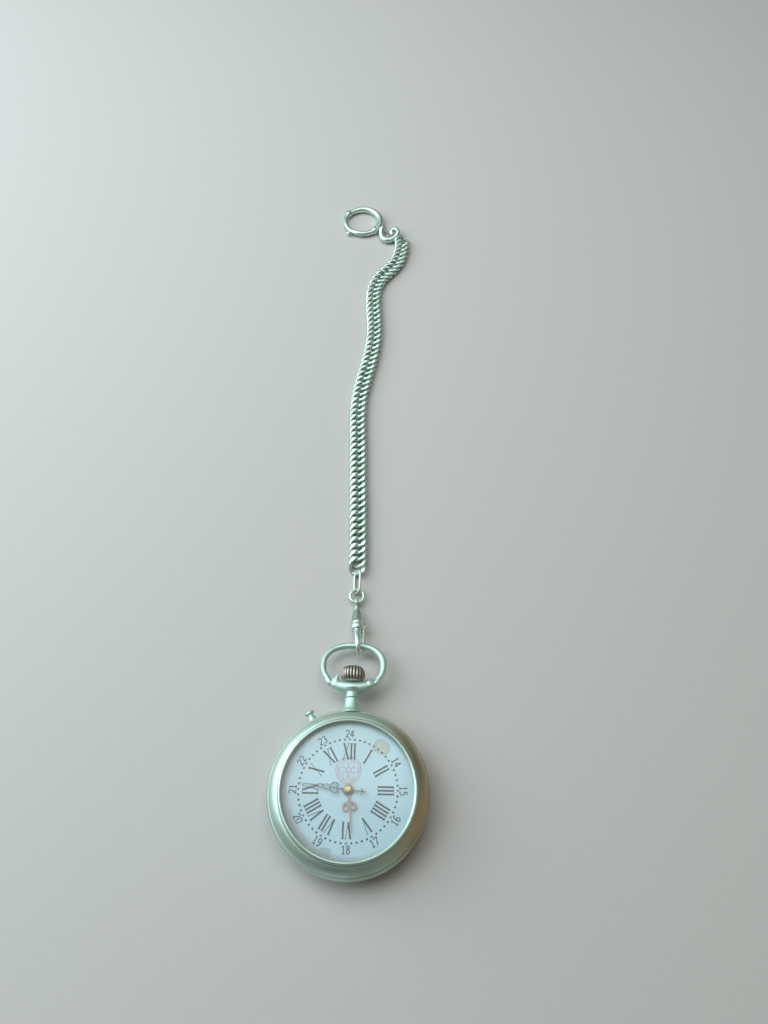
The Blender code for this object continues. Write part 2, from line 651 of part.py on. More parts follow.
def bore_screws(made, names, low):
    for name in names:
        x, y = SCREW_HOLES[name]
        hole = rod("hole_" + name, (x, y, low - 1), (x, y, PLATE_Z + 1), SCREW_SHANK_R + RUN, 10)
        combine(made, hole, "DIFFERENCE")
        screw(name, x, y, low - GAP - 0.5, PLATE_Z + PLATE_T - 0.2, 1.1, SCREW_SHANK_R)


def balance_cock():
    """The bridge over the balance, on one foot, with the regulator on it."""
    low = 3.95
    high = 4.5
    foot = Vector(COCK_FOOT_XY)
    wheel = Vector(BALANCE_XY)
    line = (wheel - foot).normalized()
    side = Vector((-line.y, line.x))
    outline = [foot + side * 2.4 - line * 1.8, foot - side * 2.4 - line * 1.8, foot - side * 2.2 + line * 2.2]
    turn = math.atan2(line.y, line.x)
    outline += [Vector(polar(1.9, turn - 1.6 + 3.2 * i / 6, BALANCE_XY)) for i in range(7)]
    outline += [foot + side * 2.2 + line * 2.2]
    post = [foot + side * 1.9 - line * 1.5, foot - side * 1.9 - line * 1.5, foot - side * 1.9 + line * 1.3]
    post += [foot + side * 1.9 + line * 1.3]
    bm = bmesh.new()
    plate(bm, [tuple(p) for p in outline], low, high, [circle(BORE_R, BALANCE_XY)], [([tuple(p) for p in post], 7.7)])
    bore_screws(finish("balance_cock", bm, "nickel_dark"), ["balance_cock_screw"], low)
    bm = bmesh.new()
    turn += math.pi / 2 + 0.5
    tail = [polar(5.4, turn - 0.05, BALANCE_XY), polar(5.4, turn + 0.05, BALANCE_XY)]
    ring = [polar(1.5, turn + 0.35 + (2 * math.pi - 0.7) * i / 10, BALANCE_XY) for i in range(11)]
    plate(bm, tail + ring, low - GAP - 0.25, low - GAP, [circle(0.7, BALANCE_XY)])
    finish("regulator", bm, "steel", (*BALANCE_XY, 3.5))


def barrel():
    """The toothed drum with its spring inside, open towards the bridge and closed by the lid."""
    drum_r = 28 * BARREL_MODULE
    phase = BARREL_DIRECTION + math.pi
    outline = gear(BARREL_TEETH, BARREL_MODULE, phase, BARREL_XY)
    bm = bmesh.new()
    low = 5.95
    step = 6.95
    high = 7.6
    drum = circle(drum_r, BARREL_XY, 20)
    well = circle(drum_r - 0.35, BARREL_XY, 20)
    hole = circle(1.15, BARREL_XY, 12)
    rim = ring_of(bm, drum, low)
    shoulder = ring_of(bm, drum, step)
    tooth_foot = ring_of(bm, outline, step)
    tooth_head = ring_of(bm, outline, high)
    bore_top = ring_of(bm, hole, high)
    bore_floor = ring_of(bm, hole, high - 0.3)
    well_floor = ring_of(bm, well, high - 0.3)
    well_rim = ring_of(bm, well, low)
    for lower, upper in ((rim, shoulder), (tooth_foot, tooth_head), (bore_floor, bore_top), (well_rim, well_floor)):
        wall(bm, lower, upper)
    fill(bm, [tooth_foot, shoulder])
    fill(bm, [tooth_head, bore_top])
    fill(bm, [well_floor, bore_floor])
    fill(bm, [rim, well_rim])
    pivot = (*BARREL_XY, 7.0)
    finish("mainspring_barrel", bm, "brass", pivot)
    bm = bmesh.new()
    sections = [(circle(0.6, BARREL_XY, 12), RATCHET_Z - 0.35, 5.2), (circle(0.85, BARREL_XY, 12), 5.2, PLATE_Z - 0.1)]
    stack(bm, sections + [(circle(PIVOT_R, BARREL_XY, 8), PLATE_Z - 0.1, PLATE_Z + 1.0)])
    finish("barrel_arbor", bm, "steel", pivot)
    spiral("mainspring", BARREL_XY, 1.35, 28 * BARREL_MODULE - 0.8, 4, 12, 6.2, 7.1, 0.2)
    bm = bmesh.new()
    crown_phase = math.pi / 2 + math.pi / CROWN_WHEEL_TEETH
    direction = math.atan2(BARREL_XY[1] - CROWN_WHEEL_Y, BARREL_XY[0])
    phase = mating_phase(crown_phase, CROWN_WHEEL_TEETH, RATCHET_TEETH, direction)
    outline = gear(RATCHET_TEETH, WINDING_MODULE, phase, BARREL_XY, share=0.5)
    plate(bm, outline, RATCHET_Z, RATCHET_Z + RATCHET_T, [circle(0.6 + RUN, BARREL_XY, 12)])
    finish("ratchet_wheel", bm, "steel", pivot)
    bm = bmesh.new()
    outline = gear(CROWN_WHEEL_TEETH, WINDING_MODULE, crown_phase, CROWN_WHEEL_XY, share=0.5)
    sections = [(outline, RATCHET_Z, RATCHET_Z + RATCHET_T), (circle(0.7, CROWN_WHEEL_XY, 12), 4.2, 5.0)]
    stack(bm, sections)
    finish("crown_wheel", bm, "steel", (*CROWN_WHEEL_XY, RATCHET_Z))
    click()


def click():
    """The pawl that keeps the ratchet wheel from running back, just clear of its teeth."""
    ratchet_tip = (RATCHET_TEETH / 2 + 0.9) * WINDING_MODULE
    nose = polar(ratchet_tip + 0.2, math.radians(185), BARREL_XY)
    pivot = polar(ratchet_tip + 1.8, math.radians(215), BARREL_XY)
    back = polar(ratchet_tip + 1.5, math.radians(190), BARREL_XY)
    outline = [nose, back]
    turn = math.atan2(back[1] - pivot[1], back[0] - pivot[0])
    outline += [polar(0.9, turn + 0.6 + 3.9 * i / 6, pivot) for i in range(7)]
    bm = bmesh.new()
    plate(bm, outline, RATCHET_Z, RATCHET_Z + RATCHET_T - 0.1)
    finish("click", bm, "steel", (*pivot, RATCHET_Z))


def spiral(name, centre, inner, outer, turns, steps, low, high, width):
    """A flat coil: a strip carried along an Archimedean spiral."""
    count = int(turns * steps)
    bm = bmesh.new()
    sections = []
    for i in range(count + 1):
        angle = 2 * math.pi * i / steps
        radius = inner + (outer - inner) * i / count
        near = polar(radius, angle, centre)
        far = polar(radius + width, angle, centre)
        corners = [(*near, low), (*far, low), (*far, high), (*near, high)]
        sections.append([bm.verts.new(corner) for corner in corners])
    for a, b in zip(sections, sections[1:]):
        wall(bm, a, b)
    bm.faces.new(sections[0])
    bm.faces.new(sections[-1])
    finish(name, bm, "steel", (*centre, low))


def arbor(name, centre, sections, kind="brass"):
    bm = bmesh.new()
    stack(bm, sections)
    finish(name, bm, kind, (*centre, sections[0][1]))


def train():
    low = TRAIN_LOW
    high = TRAIN_HIGH
    end_low = BRIDGE_Z + 0.1
    end_high = PLATE_Z + 1.0

    def round_at(radius, xy):
        return circle(radius, xy, 8)

    centre_pinion_phase = mating_phase(BARREL_DIRECTION + math.pi, BARREL_TEETH, CENTRE_PINION_TEETH, BARREL_DIRECTION + math.pi)
    centre = gear(CENTRE_TEETH, CENTRE_MODULE, THIRD_DIRECTION)
    pinion = gear(CENTRE_PINION_TEETH, BARREL_MODULE, centre_pinion_phase, share=0.55)
    arbor("centre_wheel", (0, 0), [
        (round_at(PIVOT_R, (0, 0)), end_low, low),
        (round_at(0.7, (0, 0)), low, 5.3),
        (centre, 5.3, 5.6),
        (round_at(0.55, (0, 0)), 5.6, 6.85),
        (pinion, 6.85, high),
        (circle(0.5, steps=12), high, 12.3),
    ])
    phase = mating_phase(THIRD_DIRECTION, CENTRE_TEETH, THIRD_PINION_TEETH, THIRD_DIRECTION)
    third = gear(THIRD_TEETH, THIRD_MODULE, FOURTH_DIRECTION, THIRD_XY)
    pinion = gear(THIRD_PINION_TEETH, CENTRE_MODULE, phase, THIRD_XY, share=0.5)
    arbor("third_wheel", THIRD_XY, [
        (round_at(PIVOT_R, THIRD_XY), end_low, low),
        (pinion, low, 5.75),
        (round_at(0.3, THIRD_XY), 5.75, 6.2),
        (third, 6.2, 6.5),
        (round_at(0.3, THIRD_XY), 6.5, high),
        (round_at(PIVOT_R, THIRD_XY), high, end_high),
    ])
    phase = mating_phase(FOURTH_DIRECTION, THIRD_TEETH, FOURTH_PINION_TEETH, FOURTH_DIRECTION)
    fourth = gear(FOURTH_TEETH, FOURTH_MODULE, ESCAPE_DIRECTION, FOURTH_XY)
    pinion = gear(FOURTH_PINION_TEETH, THIRD_MODULE, phase, FOURTH_XY, share=0.5)
    arbor("fourth_wheel", FOURTH_XY, [
        (round_at(PIVOT_R, FOURTH_XY), end_low, low),
        (round_at(0.3, FOURTH_XY), low, 6.05),
        (pinion, 6.05, 6.65),
        (round_at(0.3, FOURTH_XY), 6.65, 7.1),
        (fourth, 7.1, 7.4),
        (round_at(0.3, FOURTH_XY), 7.4, high),
        (round_at(PIVOT_R, FOURTH_XY), high, end_high),
    ])
    phase = mating_phase(ESCAPE_DIRECTION, FOURTH_TEETH, ESCAPE_PINION_TEETH, ESCAPE_DIRECTION)
    module = 2 * ESCAPE_R / ESCAPE_TEETH
    wheel = gear(ESCAPE_TEETH, module, 0.0, ESCAPE_XY, addendum=0.0, dedendum=2.2, share=0.8, rake=0.3)
    pinion = gear(ESCAPE_PINION_TEETH, FOURTH_MODULE, phase, ESCAPE_XY, share=0.5)
    arbor("escape_wheel", ESCAPE_XY, [
        (round_at(PIVOT_R, ESCAPE_XY), end_low, low),
        (round_at(0.35, ESCAPE_XY), low, 6.2),
        (wheel, 6.2, 6.5),
        (round_at(0.26, ESCAPE_XY), 6.5, 6.95),
        (pinion, 6.95, 7.55),
        (round_at(PIVOT_R, ESCAPE_XY), 7.55, end_high),
    ])


def pallet_fork():
    """A fork towards the balance, two arms round the escape wheel and a staff."""
    toward = LINE_ANGLE
    back = LINE_ANGLE + math.pi
    arm_reach = 2.9
    outline = [
        polar(2.5, toward - 0.16, PALLET_XY),
        polar(2.1, toward, PALLET_XY),
        polar(2.5, toward + 0.16, PALLET_XY),
        polar(0.7, toward + 0.9, PALLET_XY),
        polar(arm_reach, back - 1.22, PALLET_XY),
        polar(arm_reach, back - 1.0, PALLET_XY),
        polar(0.5, back, PALLET_XY),
        polar(arm_reach, back + 1.0, PALLET_XY),
        polar(arm_reach, back + 1.22, PALLET_XY),
        polar(0.7, toward - 0.9, PALLET_XY),
    ]
    arbor("pallet_fork", PALLET_XY, [
        (outline, 6.15, 6.5),
        (circle(0.26, PALLET_XY), 6.5, TRAIN_HIGH),
        (circle(PIVOT_R, PALLET_XY), TRAIN_HIGH, PLATE_Z + 1.0),
    ], "steel")


def balance():
    """A rim on two arms, its staff and the roller, with the hairspring between it and the cock."""
    bm = bmesh.new()
    rim = BALANCE_R
    inside = rim - 0.9
    gap_angle = 0.13
    windows = []
    for start in (0.0, math.pi):
        arc = [start + gap_angle + (math.pi - 2 * gap_angle) * i / 8 for i in range(9)]
        window = [polar(inside, a, BALANCE_XY) for a in arc]
        hub = [start + 0.5 + (math.pi - 1.0) * i / 3 for i in range(4)]
        window += [polar(1.3, a, BALANCE_XY) for a in reversed(hub)]
        windows.append(window)
    plate(bm, circle(rim, BALANCE_XY, 32), 5.5, 6.0, windows)
    made = finish("balance_wheel", bm, "brass", (*BALANCE_XY, 5.5))
    bm = bmesh.new()
    stack(bm, [
        (circle(PIVOT_R, BALANCE_XY), 4.1, 4.75),
        (circle(0.3, BALANCE_XY), 4.75, 5.4),
        (circle(0.6, BALANCE_XY), 5.4, 6.1),
        (circle(1.0, BALANCE_XY), 6.1, 6.4),
        (circle(0.3, BALANCE_XY), 6.4, TRAIN_HIGH),
        (circle(PIVOT_R, BALANCE_XY), TRAIN_HIGH, PLATE_Z + 1.0),
    ])
    combine(made, finish("balance_staff", bm, "steel"), "UNION")
    spiral("hairspring", BALANCE_XY, 0.7, 3.2, 4, 12, 4.85, 5.1, 0.08)


def setting_lever():
    """The lever that the button turns to put the hand-setting wheels in mesh."""
    touch = BUTTON_DIRECTION * (CASE_R + BUTTON_REACH - BUTTON_LENGTH - GAP)
    x, y = LEVER_XY
    outline = [
        (touch.x + 0.9, touch.y + 0.0),
        (touch.x - 0.9, touch.y - 0.1),
        (x - 0.9, y + 0.4),
        (x - 0.7, y - 0.8),
        (x + 0.5, y - 1.0),
        (x + 0.9, y - 0.2),
        (touch.x + 1.2, touch.y - 1.0),
    ]
    bm = bmesh.new()
    stack(bm, [(outline, 6.3, 6.9), (circle(0.35, LEVER_XY), 6.9, TRAIN_HIGH), (circle(PIVOT_R, LEVER_XY), TRAIN_HIGH, 8.8)])
    finish("setting_lever", bm, "steel", (x, y, 6.6))


# ---- dial side -------------------------------------------------------------------------------------------
def motion_works():
    """Cannon pinion, minute wheel and hour wheel, which turn the hands in a ratio of twelve to one."""
    minute_z = 9.35
    hour_z = 9.7
    bore = 0.5 + RUN
    pinion = gear(CANNON_TEETH, MOTION_MODULE, MINUTE_DIRECTION, share=0.5)
    bm = bmesh.new()
    hole = circle(bore, steps=12)
    pipe = circle(0.82, steps=12)
    foot = ring_of(bm, pinion, minute_z)
    head = ring_of(bm, pinion, minute_z + 0.3)
    pipe_foot = ring_of(bm, pipe, minute_z + 0.3)
    pipe_head = ring_of(bm, pipe, 11.75)
    bore_foot = ring_of(bm, hole, minute_z)
    bore_head = ring_of(bm, hole, 11.75)
    wall(bm, foot, head)
    wall(bm, pipe_foot, pipe_head)
    wall(bm, bore_foot, bore_head)
    fill(bm, [foot, bore_foot])
    fill(bm, [head, pipe_foot])
    fill(bm, [pipe_head, bore_head])
    finish("cannon_pinion", bm, "steel")
    phase = mating_phase(MINUTE_DIRECTION, CANNON_TEETH, MINUTE_TEETH, MINUTE_DIRECTION)
    wheel = gear(MINUTE_TEETH, MOTION_MODULE, phase, MINUTE_XY)
    back = MINUTE_DIRECTION + math.pi
    pinion = gear(MINUTE_PINION_TEETH, MOTION_MODULE, back, MINUTE_XY, share=0.5)
    bm = bmesh.new()
    post = (circle(PIVOT_R, MINUTE_XY), PLATE_Z + 0.3, minute_z)
    stack(bm, [post, (wheel, minute_z, minute_z + 0.25), (pinion, minute_z + 0.25, 10.05)])
    finish("minute_wheel", bm, "brass", (*MINUTE_XY, minute_z))
    phase = mating_phase(back, MINUTE_PINION_TEETH, HOUR_TEETH, back)
    wheel = gear(HOUR_TEETH, MOTION_MODULE, phase)
    bm = bmesh.new()
    hole = circle(0.82 + RUN, steps=12)
    pipe = circle(1.3, steps=12)
    foot = ring_of(bm, wheel, hour_z)
    head = ring_of(bm, wheel, hour_z + 0.3)
    pipe_foot = ring_of(bm, pipe, hour_z + 0.3)
    pipe_head = ring_of(bm, pipe, 11.15)
    bore_foot = ring_of(bm, hole, hour_z)
    bore_head = ring_of(bm, hole, 11.15)
    wall(bm, foot, head)
    wall(bm, pipe_foot, pipe_head)
    wall(bm, bore_foot, bore_head)
    fill(bm, [foot, bore_foot])
    fill(bm, [head, pipe_foot])
    fill(bm, [pipe_head, bore_head])
    finish("hour_wheel", bm, "brass")


def dial():
    bm = bmesh.new()
    plate(bm, circle(DIAL_R, steps=CASE_STEPS), DIAL_Z, DIAL_Z + DIAL_T, [circle(1.6, steps=12)])
    finish("dial", bm, "enamel")


def hand(name, angle, reach, tail, bore, low, high, boss):
    """A flat hand: a boss, a blade with an openwork bulge and a short counterpoise."""
    half = (
        (boss * 0.8, 0.35),
        (reach * 0.22, 0.4),
        (reach * 0.28, 1.1),
        (reach * 0.42, 1.1),
        (reach * 0.5, 0.35),
        (reach, 0.08),
    )
    upper = [Vector((along_x, across)) for along_x, across in half]
    lower = [Vector((along_x, -across)) for along_x, across in reversed(half)]
    arc = [Vector(polar(boss, -2.4 - 1.48 * i / 4)) for i in range(5)]
    sides = [Vector(polar(boss, -0.7 - 0.8 * i / 2)) for i in range(2)]
    mirrored = [Vector((p.x, -p.y)) for p in reversed(sides)]
    back = [Vector((-tail, -0.3)), Vector((-tail, 0.3))] if tail else []
    left = arc[:2] + back + arc[3:] if tail else arc
    outline = upper + lower + sides + left + mirrored
    turn = Matrix.Rotation(angle, 2)
    bm = bmesh.new()
    plate(bm, [tuple(turn @ p) for p in outline], low, high, [circle(bore, steps=12)])
    finish(name, bm, "hand_brass")


def hands():
    hand("hour_hand", HOUR_HAND_ANGLE, 13.4, 0.0, 0.82 + RUN, 11.3, 11.5, 1.7)
    hand("minute_hand", MINUTE_HAND_ANGLE, 16.0, 6.0, 0.5 + RUN, 11.95, 12.15, 1.5)


# ---- clasp, chain and bolt ring -----------------------------------------------------------------------------
SWIVEL_START = Vector((0.4, 57.2 + OUT, 3.6))
SWIVEL_END = Vector((0.0, 66.2 + OUT, 2.1))
EYE_CENTRE = Vector((0.1, 68.8 + OUT, 1.9))
EYE_WIRE = 0.5
SWIVEL_RING_CENTRE = Vector((0.2, 71.35 + OUT, 1.9))
END_LINK_CENTRE = Vector((0.1, 77.2 + OUT, 1.9))


def swivel():
    """The snap hook on the bow: hook and spring housing, gate, and the eye that turns in the housing."""
    route = (
        (0.4, 58.6, 3.4, 0.9),
        (0.5, 55.6, 4.6, 0.85),
        (0.8, 53.4, 5.75, 0.8),
        (1.0, 51.1, 6.3, 0.75),
        (1.3, 49.2, 5.9, 0.7),
        (1.8, 48.0, 4.7, 0.62),
        (2.4, 47.8, 3.2, 0.6),
        (3.0, 48.9, 2.1, 0.6),
        (3.3, 50.4, 1.75, 0.6),
    )
    route = [(x, y + OUT, z, radius) for x, y, z, radius in route]
    body = [(0, 0), (1.9, 0.2), (2.35, 1.0), (2.2, 2.4), (1.75, 3.3), (1.1, 8.6), (0, 8.6)]
    pivot = tilted(0, BOW_CENTRE_Y + BOW_HALF_HEIGHT)
    made = turned("swivel_hook", body, "nickel", SMALL_STEPS, along(SWIVEL_START, SWIVEL_END), pivot)
    points = [p[:3] for p in route]
    combine(made, tube("hook_wire", points, [p[3] for p in route], "nickel"), "UNION")
    line = (SWIVEL_END - SWIVEL_START).normalized()
    top = SWIVEL_START + line * 8.6
    combine(made, rod("swivel_bore", top - line * 2.6, top + line, 0.7, 12), "DIFFERENCE")
    gate_root = (3.05, 57.6 + OUT, 3.0)
    tube("swivel_gate", [gate_root, (3.3, 54.5 + OUT, 2.5), (3.4, 51.4 + OUT, 1.85)], [0.45] * 3, "nickel", pivot=gate_root)
    steps = 12
    points = []
    for i in range(steps):
        angle = 2 * math.pi * i / steps
        points.append(EYE_CENTRE + Vector((0, math.cos(angle), math.sin(angle))) * 1.35)
    eye = tube("swivel_eye", points, [EYE_WIRE] * steps, "nickel", cyclic=True, pivot=EYE_CENTRE)
    stem_end = EYE_CENTRE - line * 1.45
    combine(eye, rod("eye_stem", top - line * 2.2, stem_end, 0.42, 12), "UNION")
    loop_wire("swivel_ring", SWIVEL_RING_CENTRE, (0, 2.55, 0), (2.55, 0, 0), 0.55, "nickel", 16)
    loop_wire("end_link", END_LINK_CENTRE, (0, 4.55, 0), (1.05, 0, 1.3), 0.45, "nickel", 16)


def chain_run(name, start, end):
    """One stiff stretch of curb chain: a bar with round ends that meets the next at its hinge point."""
    start = Vector((*start, 0))
    end = Vector((*end, 0))
    line = (end - start).normalized()
    length = (end - start).length
    half = CHAIN_WIDTH / 2
    turn = math.atan2(line.y, line.x)
    bm = bmesh.new()
    rings = []
    steps = 7
    reach = half + GAP / 2
    for inset, height in ((0.9, 0), (0, 0.9), (0, CHAIN_THICK - 0.9), (0.9, CHAIN_THICK)):
        radius = half - inset
        outline = [polar(radius, turn - math.pi / 2 + math.pi * i / steps, (end - line * reach)[:2]) for i in range(steps + 1)]
        outline += [polar(radius, turn + math.pi / 2 + math.pi * i / steps, (start + line * reach)[:2]) for i in range(steps + 1)]
        rings.append(ring_of(bm, outline, height))
    for low, high in zip(rings, rings[1:]):
        wall(bm, low, high)
    bm.faces.new(rings[0])
    bm.faces.new(rings[-1])
    finish(name, bm, "nickel", (start.x, start.y, CHAIN_THICK / 2))
    return length


def chain():
    for i, (start, end) in enumerate(zip(CHAIN_ROUTE, CHAIN_ROUTE[1:])):
        chain_run(f"chain_run_{i + 1:02d}", start, end)


def ring_arc(start, end, radius, z, steps):
    return [(*polar(radius, math.radians(start + (end - start) * i / steps), RING_CENTRE), z) for i in range(steps + 1)]


def bolt_ring():
    """The spring ring: a hollow tube, its sliding bolt with a thumb knob, and the link to the chain."""
    z = RING_TUBE_R
    tube_start = -126
    tube_end = 146
    steps = 24
    outer = ring_arc(tube_start, tube_end, RING_R, z, steps)
    made = tube("bolt_ring", outer, [RING_TUBE_R] * (steps + 1), "nickel", pivot=(*RING_CENTRE, z))
    bore = tube("ring_bore", ring_arc(tube_start - 5, tube_end + 5, RING_R, z, steps), [RING_BOLT_R + GAP / 2] * (steps + 1), "nickel")
    combine(made, bore, "DIFFERENCE")
    slot = bmesh.new()
    arc = [math.radians(tube_start - 6 + (62 / 6) * i) for i in range(7)]
    outline = [polar(RING_R, a, RING_CENTRE) for a in arc] + [polar(RING_R + 3, a, RING_CENTRE) for a in reversed(arc)]
    plate(slot, outline, z - 0.7, z + 0.7)
    combine(made, finish("bolt_slot", slot, "nickel"), "DIFFERENCE")
    radial = Vector((math.cos(RING_EYE_ANGLE), math.sin(RING_EYE_ANGLE), 0))
    eye_centre = (*RING_EYE_XY, z + 0.3)
    eye = loop_wire("ring_eye", eye_centre, radial * 1.4, (0, 0, 1.3), 0.45, "nickel", 12)
    combine(made, eye, "UNION")
    steps = 16
    bolt = tube("ring_bolt", ring_arc(-212, -74, RING_R, z, steps), [RING_BOLT_R] * (steps + 1), "nickel", pivot=(*RING_CENTRE, z))
    knob_angle = math.radians(tube_start - 3.5)
    start = (*polar(RING_R, knob_angle, RING_CENTRE), z)
    end = (*polar(RING_R + 2.6, knob_angle, RING_CENTRE), z)
    combine(bolt, rod("bolt_knob", start, end, 0.5, 8), "UNION")
    route = (
        (6.3, 265.2, 1.9, 0.45),
        (5.7, 264.15, 1.8, 0.5),
        (5.0, 262.6, 1.6, 0.6),
        (5.3, 260.4, 1.5, 0.75),
        (6.5, 258.3, 1.5, 0.85),
        (8.5, 257.4, 1.5, 0.9),
        (10.8, 258.2, 1.5, 0.85),
        (12.4, 260.2, 1.5, 0.8),
        (12.9, 262.2, 1.5, 0.7),
        (12.3, 263.6, 1.5, 0.6),
    )
    points = [(x, y + OUT, height) for x, y, height, _ in route]
    tube("tail_link", points, [p[3] for p in route], "nickel", pivot=(*CHAIN_ROUTE[-1], z))


# ---- build -----------------------------------------------------------------------------------------------
def main():
    for old in list(bpy.data.objects):
        bpy.data.objects.remove(old)
    case_middle()
    back_cover()
    cover_hinge_pin()
    bezel()
    crystal()
    pendant_tube()
    pendant_yoke()
    bow()
    crown()
    winding_stem()
    set_button()
    case_screw()
    main_plate()
    bridges()
    balance_cock()
    barrel()
    train()
    pallet_fork()
    balance()
    setting_lever()
    motion_works()
    dial()
    hands()
    swivel()
    chain()
    bolt_ring()


main()
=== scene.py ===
import json
import math

import bpy
import numpy as np
from mathutils import Matrix, Vector


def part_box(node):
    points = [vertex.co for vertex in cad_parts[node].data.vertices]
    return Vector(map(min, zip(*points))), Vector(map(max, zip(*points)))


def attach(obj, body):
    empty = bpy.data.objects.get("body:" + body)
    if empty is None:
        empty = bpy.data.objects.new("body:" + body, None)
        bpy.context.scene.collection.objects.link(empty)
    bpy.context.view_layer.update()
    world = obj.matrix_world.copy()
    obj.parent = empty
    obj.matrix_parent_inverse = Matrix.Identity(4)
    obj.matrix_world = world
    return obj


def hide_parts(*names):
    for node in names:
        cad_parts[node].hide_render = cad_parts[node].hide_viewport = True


# The looks of a pocket watch on its chain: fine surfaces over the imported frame, finishes, light and camera.
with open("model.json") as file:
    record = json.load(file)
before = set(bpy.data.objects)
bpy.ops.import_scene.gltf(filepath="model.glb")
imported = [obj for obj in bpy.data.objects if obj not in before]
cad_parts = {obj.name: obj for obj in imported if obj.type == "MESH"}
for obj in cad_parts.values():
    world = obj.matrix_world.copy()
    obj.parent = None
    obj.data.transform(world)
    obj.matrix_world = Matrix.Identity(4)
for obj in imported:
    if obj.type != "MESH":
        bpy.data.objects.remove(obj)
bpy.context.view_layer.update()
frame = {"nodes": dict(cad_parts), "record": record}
mm = 0.001
turn = 2 * math.pi
print("frame loaded:", len(frame["nodes"]), "nodes")


def smoothLine(points, count):
    # Catmull-Rom spline: every span blends its four nearest points with cubic weights.
    p = np.asarray(points, float)
    p = np.vstack([2 * p[:1] - p[1:2], p, 2 * p[-1:] - p[-2:-1]])
    spans = len(p) - 3
    s = np.linspace(0, spans, count)
    i = np.minimum(s.astype(int), spans - 1)
    t = (s - i)[:, None]
    a, b, c, d = p[i], p[i + 1], p[i + 2], p[i + 3]
    return 0.5 * (2 * b + (c - a) * t + (2 * a - 5 * b + 4 * c - d) * t**2 + (3 * b - a - 3 * c + d) * t**3)


def unit(v):
    # A vector over its length.
    return v / np.linalg.norm(v, axis=-1, keepdims=True)


def powered(wave, power):
    # A sine or cosine whose size is raised to a power, which makes an oval squarer or sharper.
    return np.sign(wave) * np.abs(wave) ** power


def shell(grid, wrapRows=False, start=None, end=None):
    # A skin through a grid whose columns close on themselves; each end may close onto one point.
    # Its signed volume, the sum of the corner products over six, tells whether to turn the faces round.
    rows, columns = grid.shape[:2]
    points = grid.reshape(-1, 3)
    r, c = np.meshgrid(np.arange(rows if wrapRows else rows - 1), np.arange(columns), indexing="ij")
    rNext = (r + 1) % rows
    cNext = (c + 1) % columns
    row, rowNext = r * columns, rNext * columns
    quads = np.stack([row + c, row + cNext, rowNext + cNext, rowNext + c], -1)
    quads = quads.reshape(-1, 4)
    ring = np.arange(columns)
    ringNext = (ring + 1) % columns
    fans = []
    if start is not None:
        fans.append(np.stack([ring, np.full(columns, len(points)), ringNext], -1))
        points = np.vstack([points, start])
    if end is not None:
        last = (rows - 1) * columns
        fans.append(np.stack([last + ringNext, np.full(columns, len(points)), last + ring], -1))
        points = np.vstack([points, end])
    fans = np.vstack(fans) if fans else np.zeros((0, 3), int)
    corners = np.vstack([quads[:, [0, 1, 2]], quads[:, [0, 2, 3]], fans])
    a, b, c = (points[corners[:, k]] - points.mean(0) for k in range(3))
    if np.einsum("ij,ij->i", a, np.cross(b, c)).sum() < 0:
        quads = quads[:, ::-1]
        fans = fans[:, ::-1]
    return points * mm, quads, fans


def turned(profile, steps=120, at=(0, 0, 0), axis=(0, 0, 1)):
    # A profile of (radius, height) carried round an axis: point = at + height * axis + radius * (cos, sin).
    # A first or last radius of 0 is a pole; without one the profile closes into a ring.
    profile = np.asarray(profile, float)
    axis = unit(np.asarray(axis, float))
    side = unit(np.cross(axis, (0, 0, 1) if abs(axis[2]) < 0.9 else (0, 1, 0)))
    other = np.cross(axis, side)
    startPole = profile[0, 0] == 0
    endPole = profile[-1, 0] == 0
    poles = [np.asarray(at) + axis * profile[k, 1] for k in (0, -1)]
    body = profile[1 if startPole else 0 : len(profile) - (1 if endPole else 0)]
    angle = np.arange(steps) * turn / steps
    spoke = np.cos(angle)[:, None] * side + np.sin(angle)[:, None] * other
    grid = np.asarray(at) + body[:, 1, None, None] * axis + body[:, 0, None, None] * spoke[None]
    start = poles[0] if startPole else None
    end = poles[1] if endPole else None
    return shell(grid, not (startPole or endPole), start, end)


def swept(path, radius, sides=14, closed=False, up=(0, 0, 1), squeeze=1.0):
    # A round section carried along a path: path + radius * (side * cos + lift * sin).
    # The side is square to the path and to up, and the lift is square to both.
    path = np.asarray(path, float)
    ahead = np.roll(path, -1, 0) - np.roll(path, 1, 0) if closed else np.gradient(path, axis=0)
    ahead = unit(ahead)
    side = unit(np.cross(ahead, up))
    lift = np.cross(side, ahead) * squeeze
    angle = np.arange(sides) * turn / sides
    reach = np.broadcast_to(np.asarray(radius, float), len(path))[:, None, None]
    section = side[:, None] * np.cos(angle)[None, :, None] + lift[:, None] * np.sin(angle)[None, :, None]
    ends = (None, None) if closed else (path[0], path[-1])
    return shell(path[:, None] + reach * section, closed, *ends)


def rod(points, count, sides, up=(0, 0, 1), squeeze=1.0):
    # A tapering wire through points of (x, y, z, radius), smoothed together as one line.
    line = smoothLine(points, count)
    return swept(line[:, :3], line[:, 3], sides, up=up, squeeze=squeeze)


def ribbon(path, width, low, high, closed=False):
    # A flat strip of a given height: at each point of a plane path, half its width to either side.
    path = np.asarray(path, float)
    ahead = np.roll(path, -1, 0) - np.roll(path, 1, 0) if closed else np.gradient(path, axis=0)
    ahead = unit(ahead)
    side = np.stack([-ahead[:, 1], ahead[:, 0]], -1)
    half = np.broadcast_to(np.asarray(width, float) / 2, len(path))[:, None]
    left, right = path + side * half, path - side * half
    flat = np.stack([left, right, right, left], 1)
    heights = np.broadcast_to(np.array([low, low, high, high], float), flat.shape[:2])
    grid = np.concatenate([flat, heights[..., None]], -1)
    ends = (None, None) if closed else (grid[0].mean(0), grid[-1].mean(0))
    return shell(grid, closed, *ends)


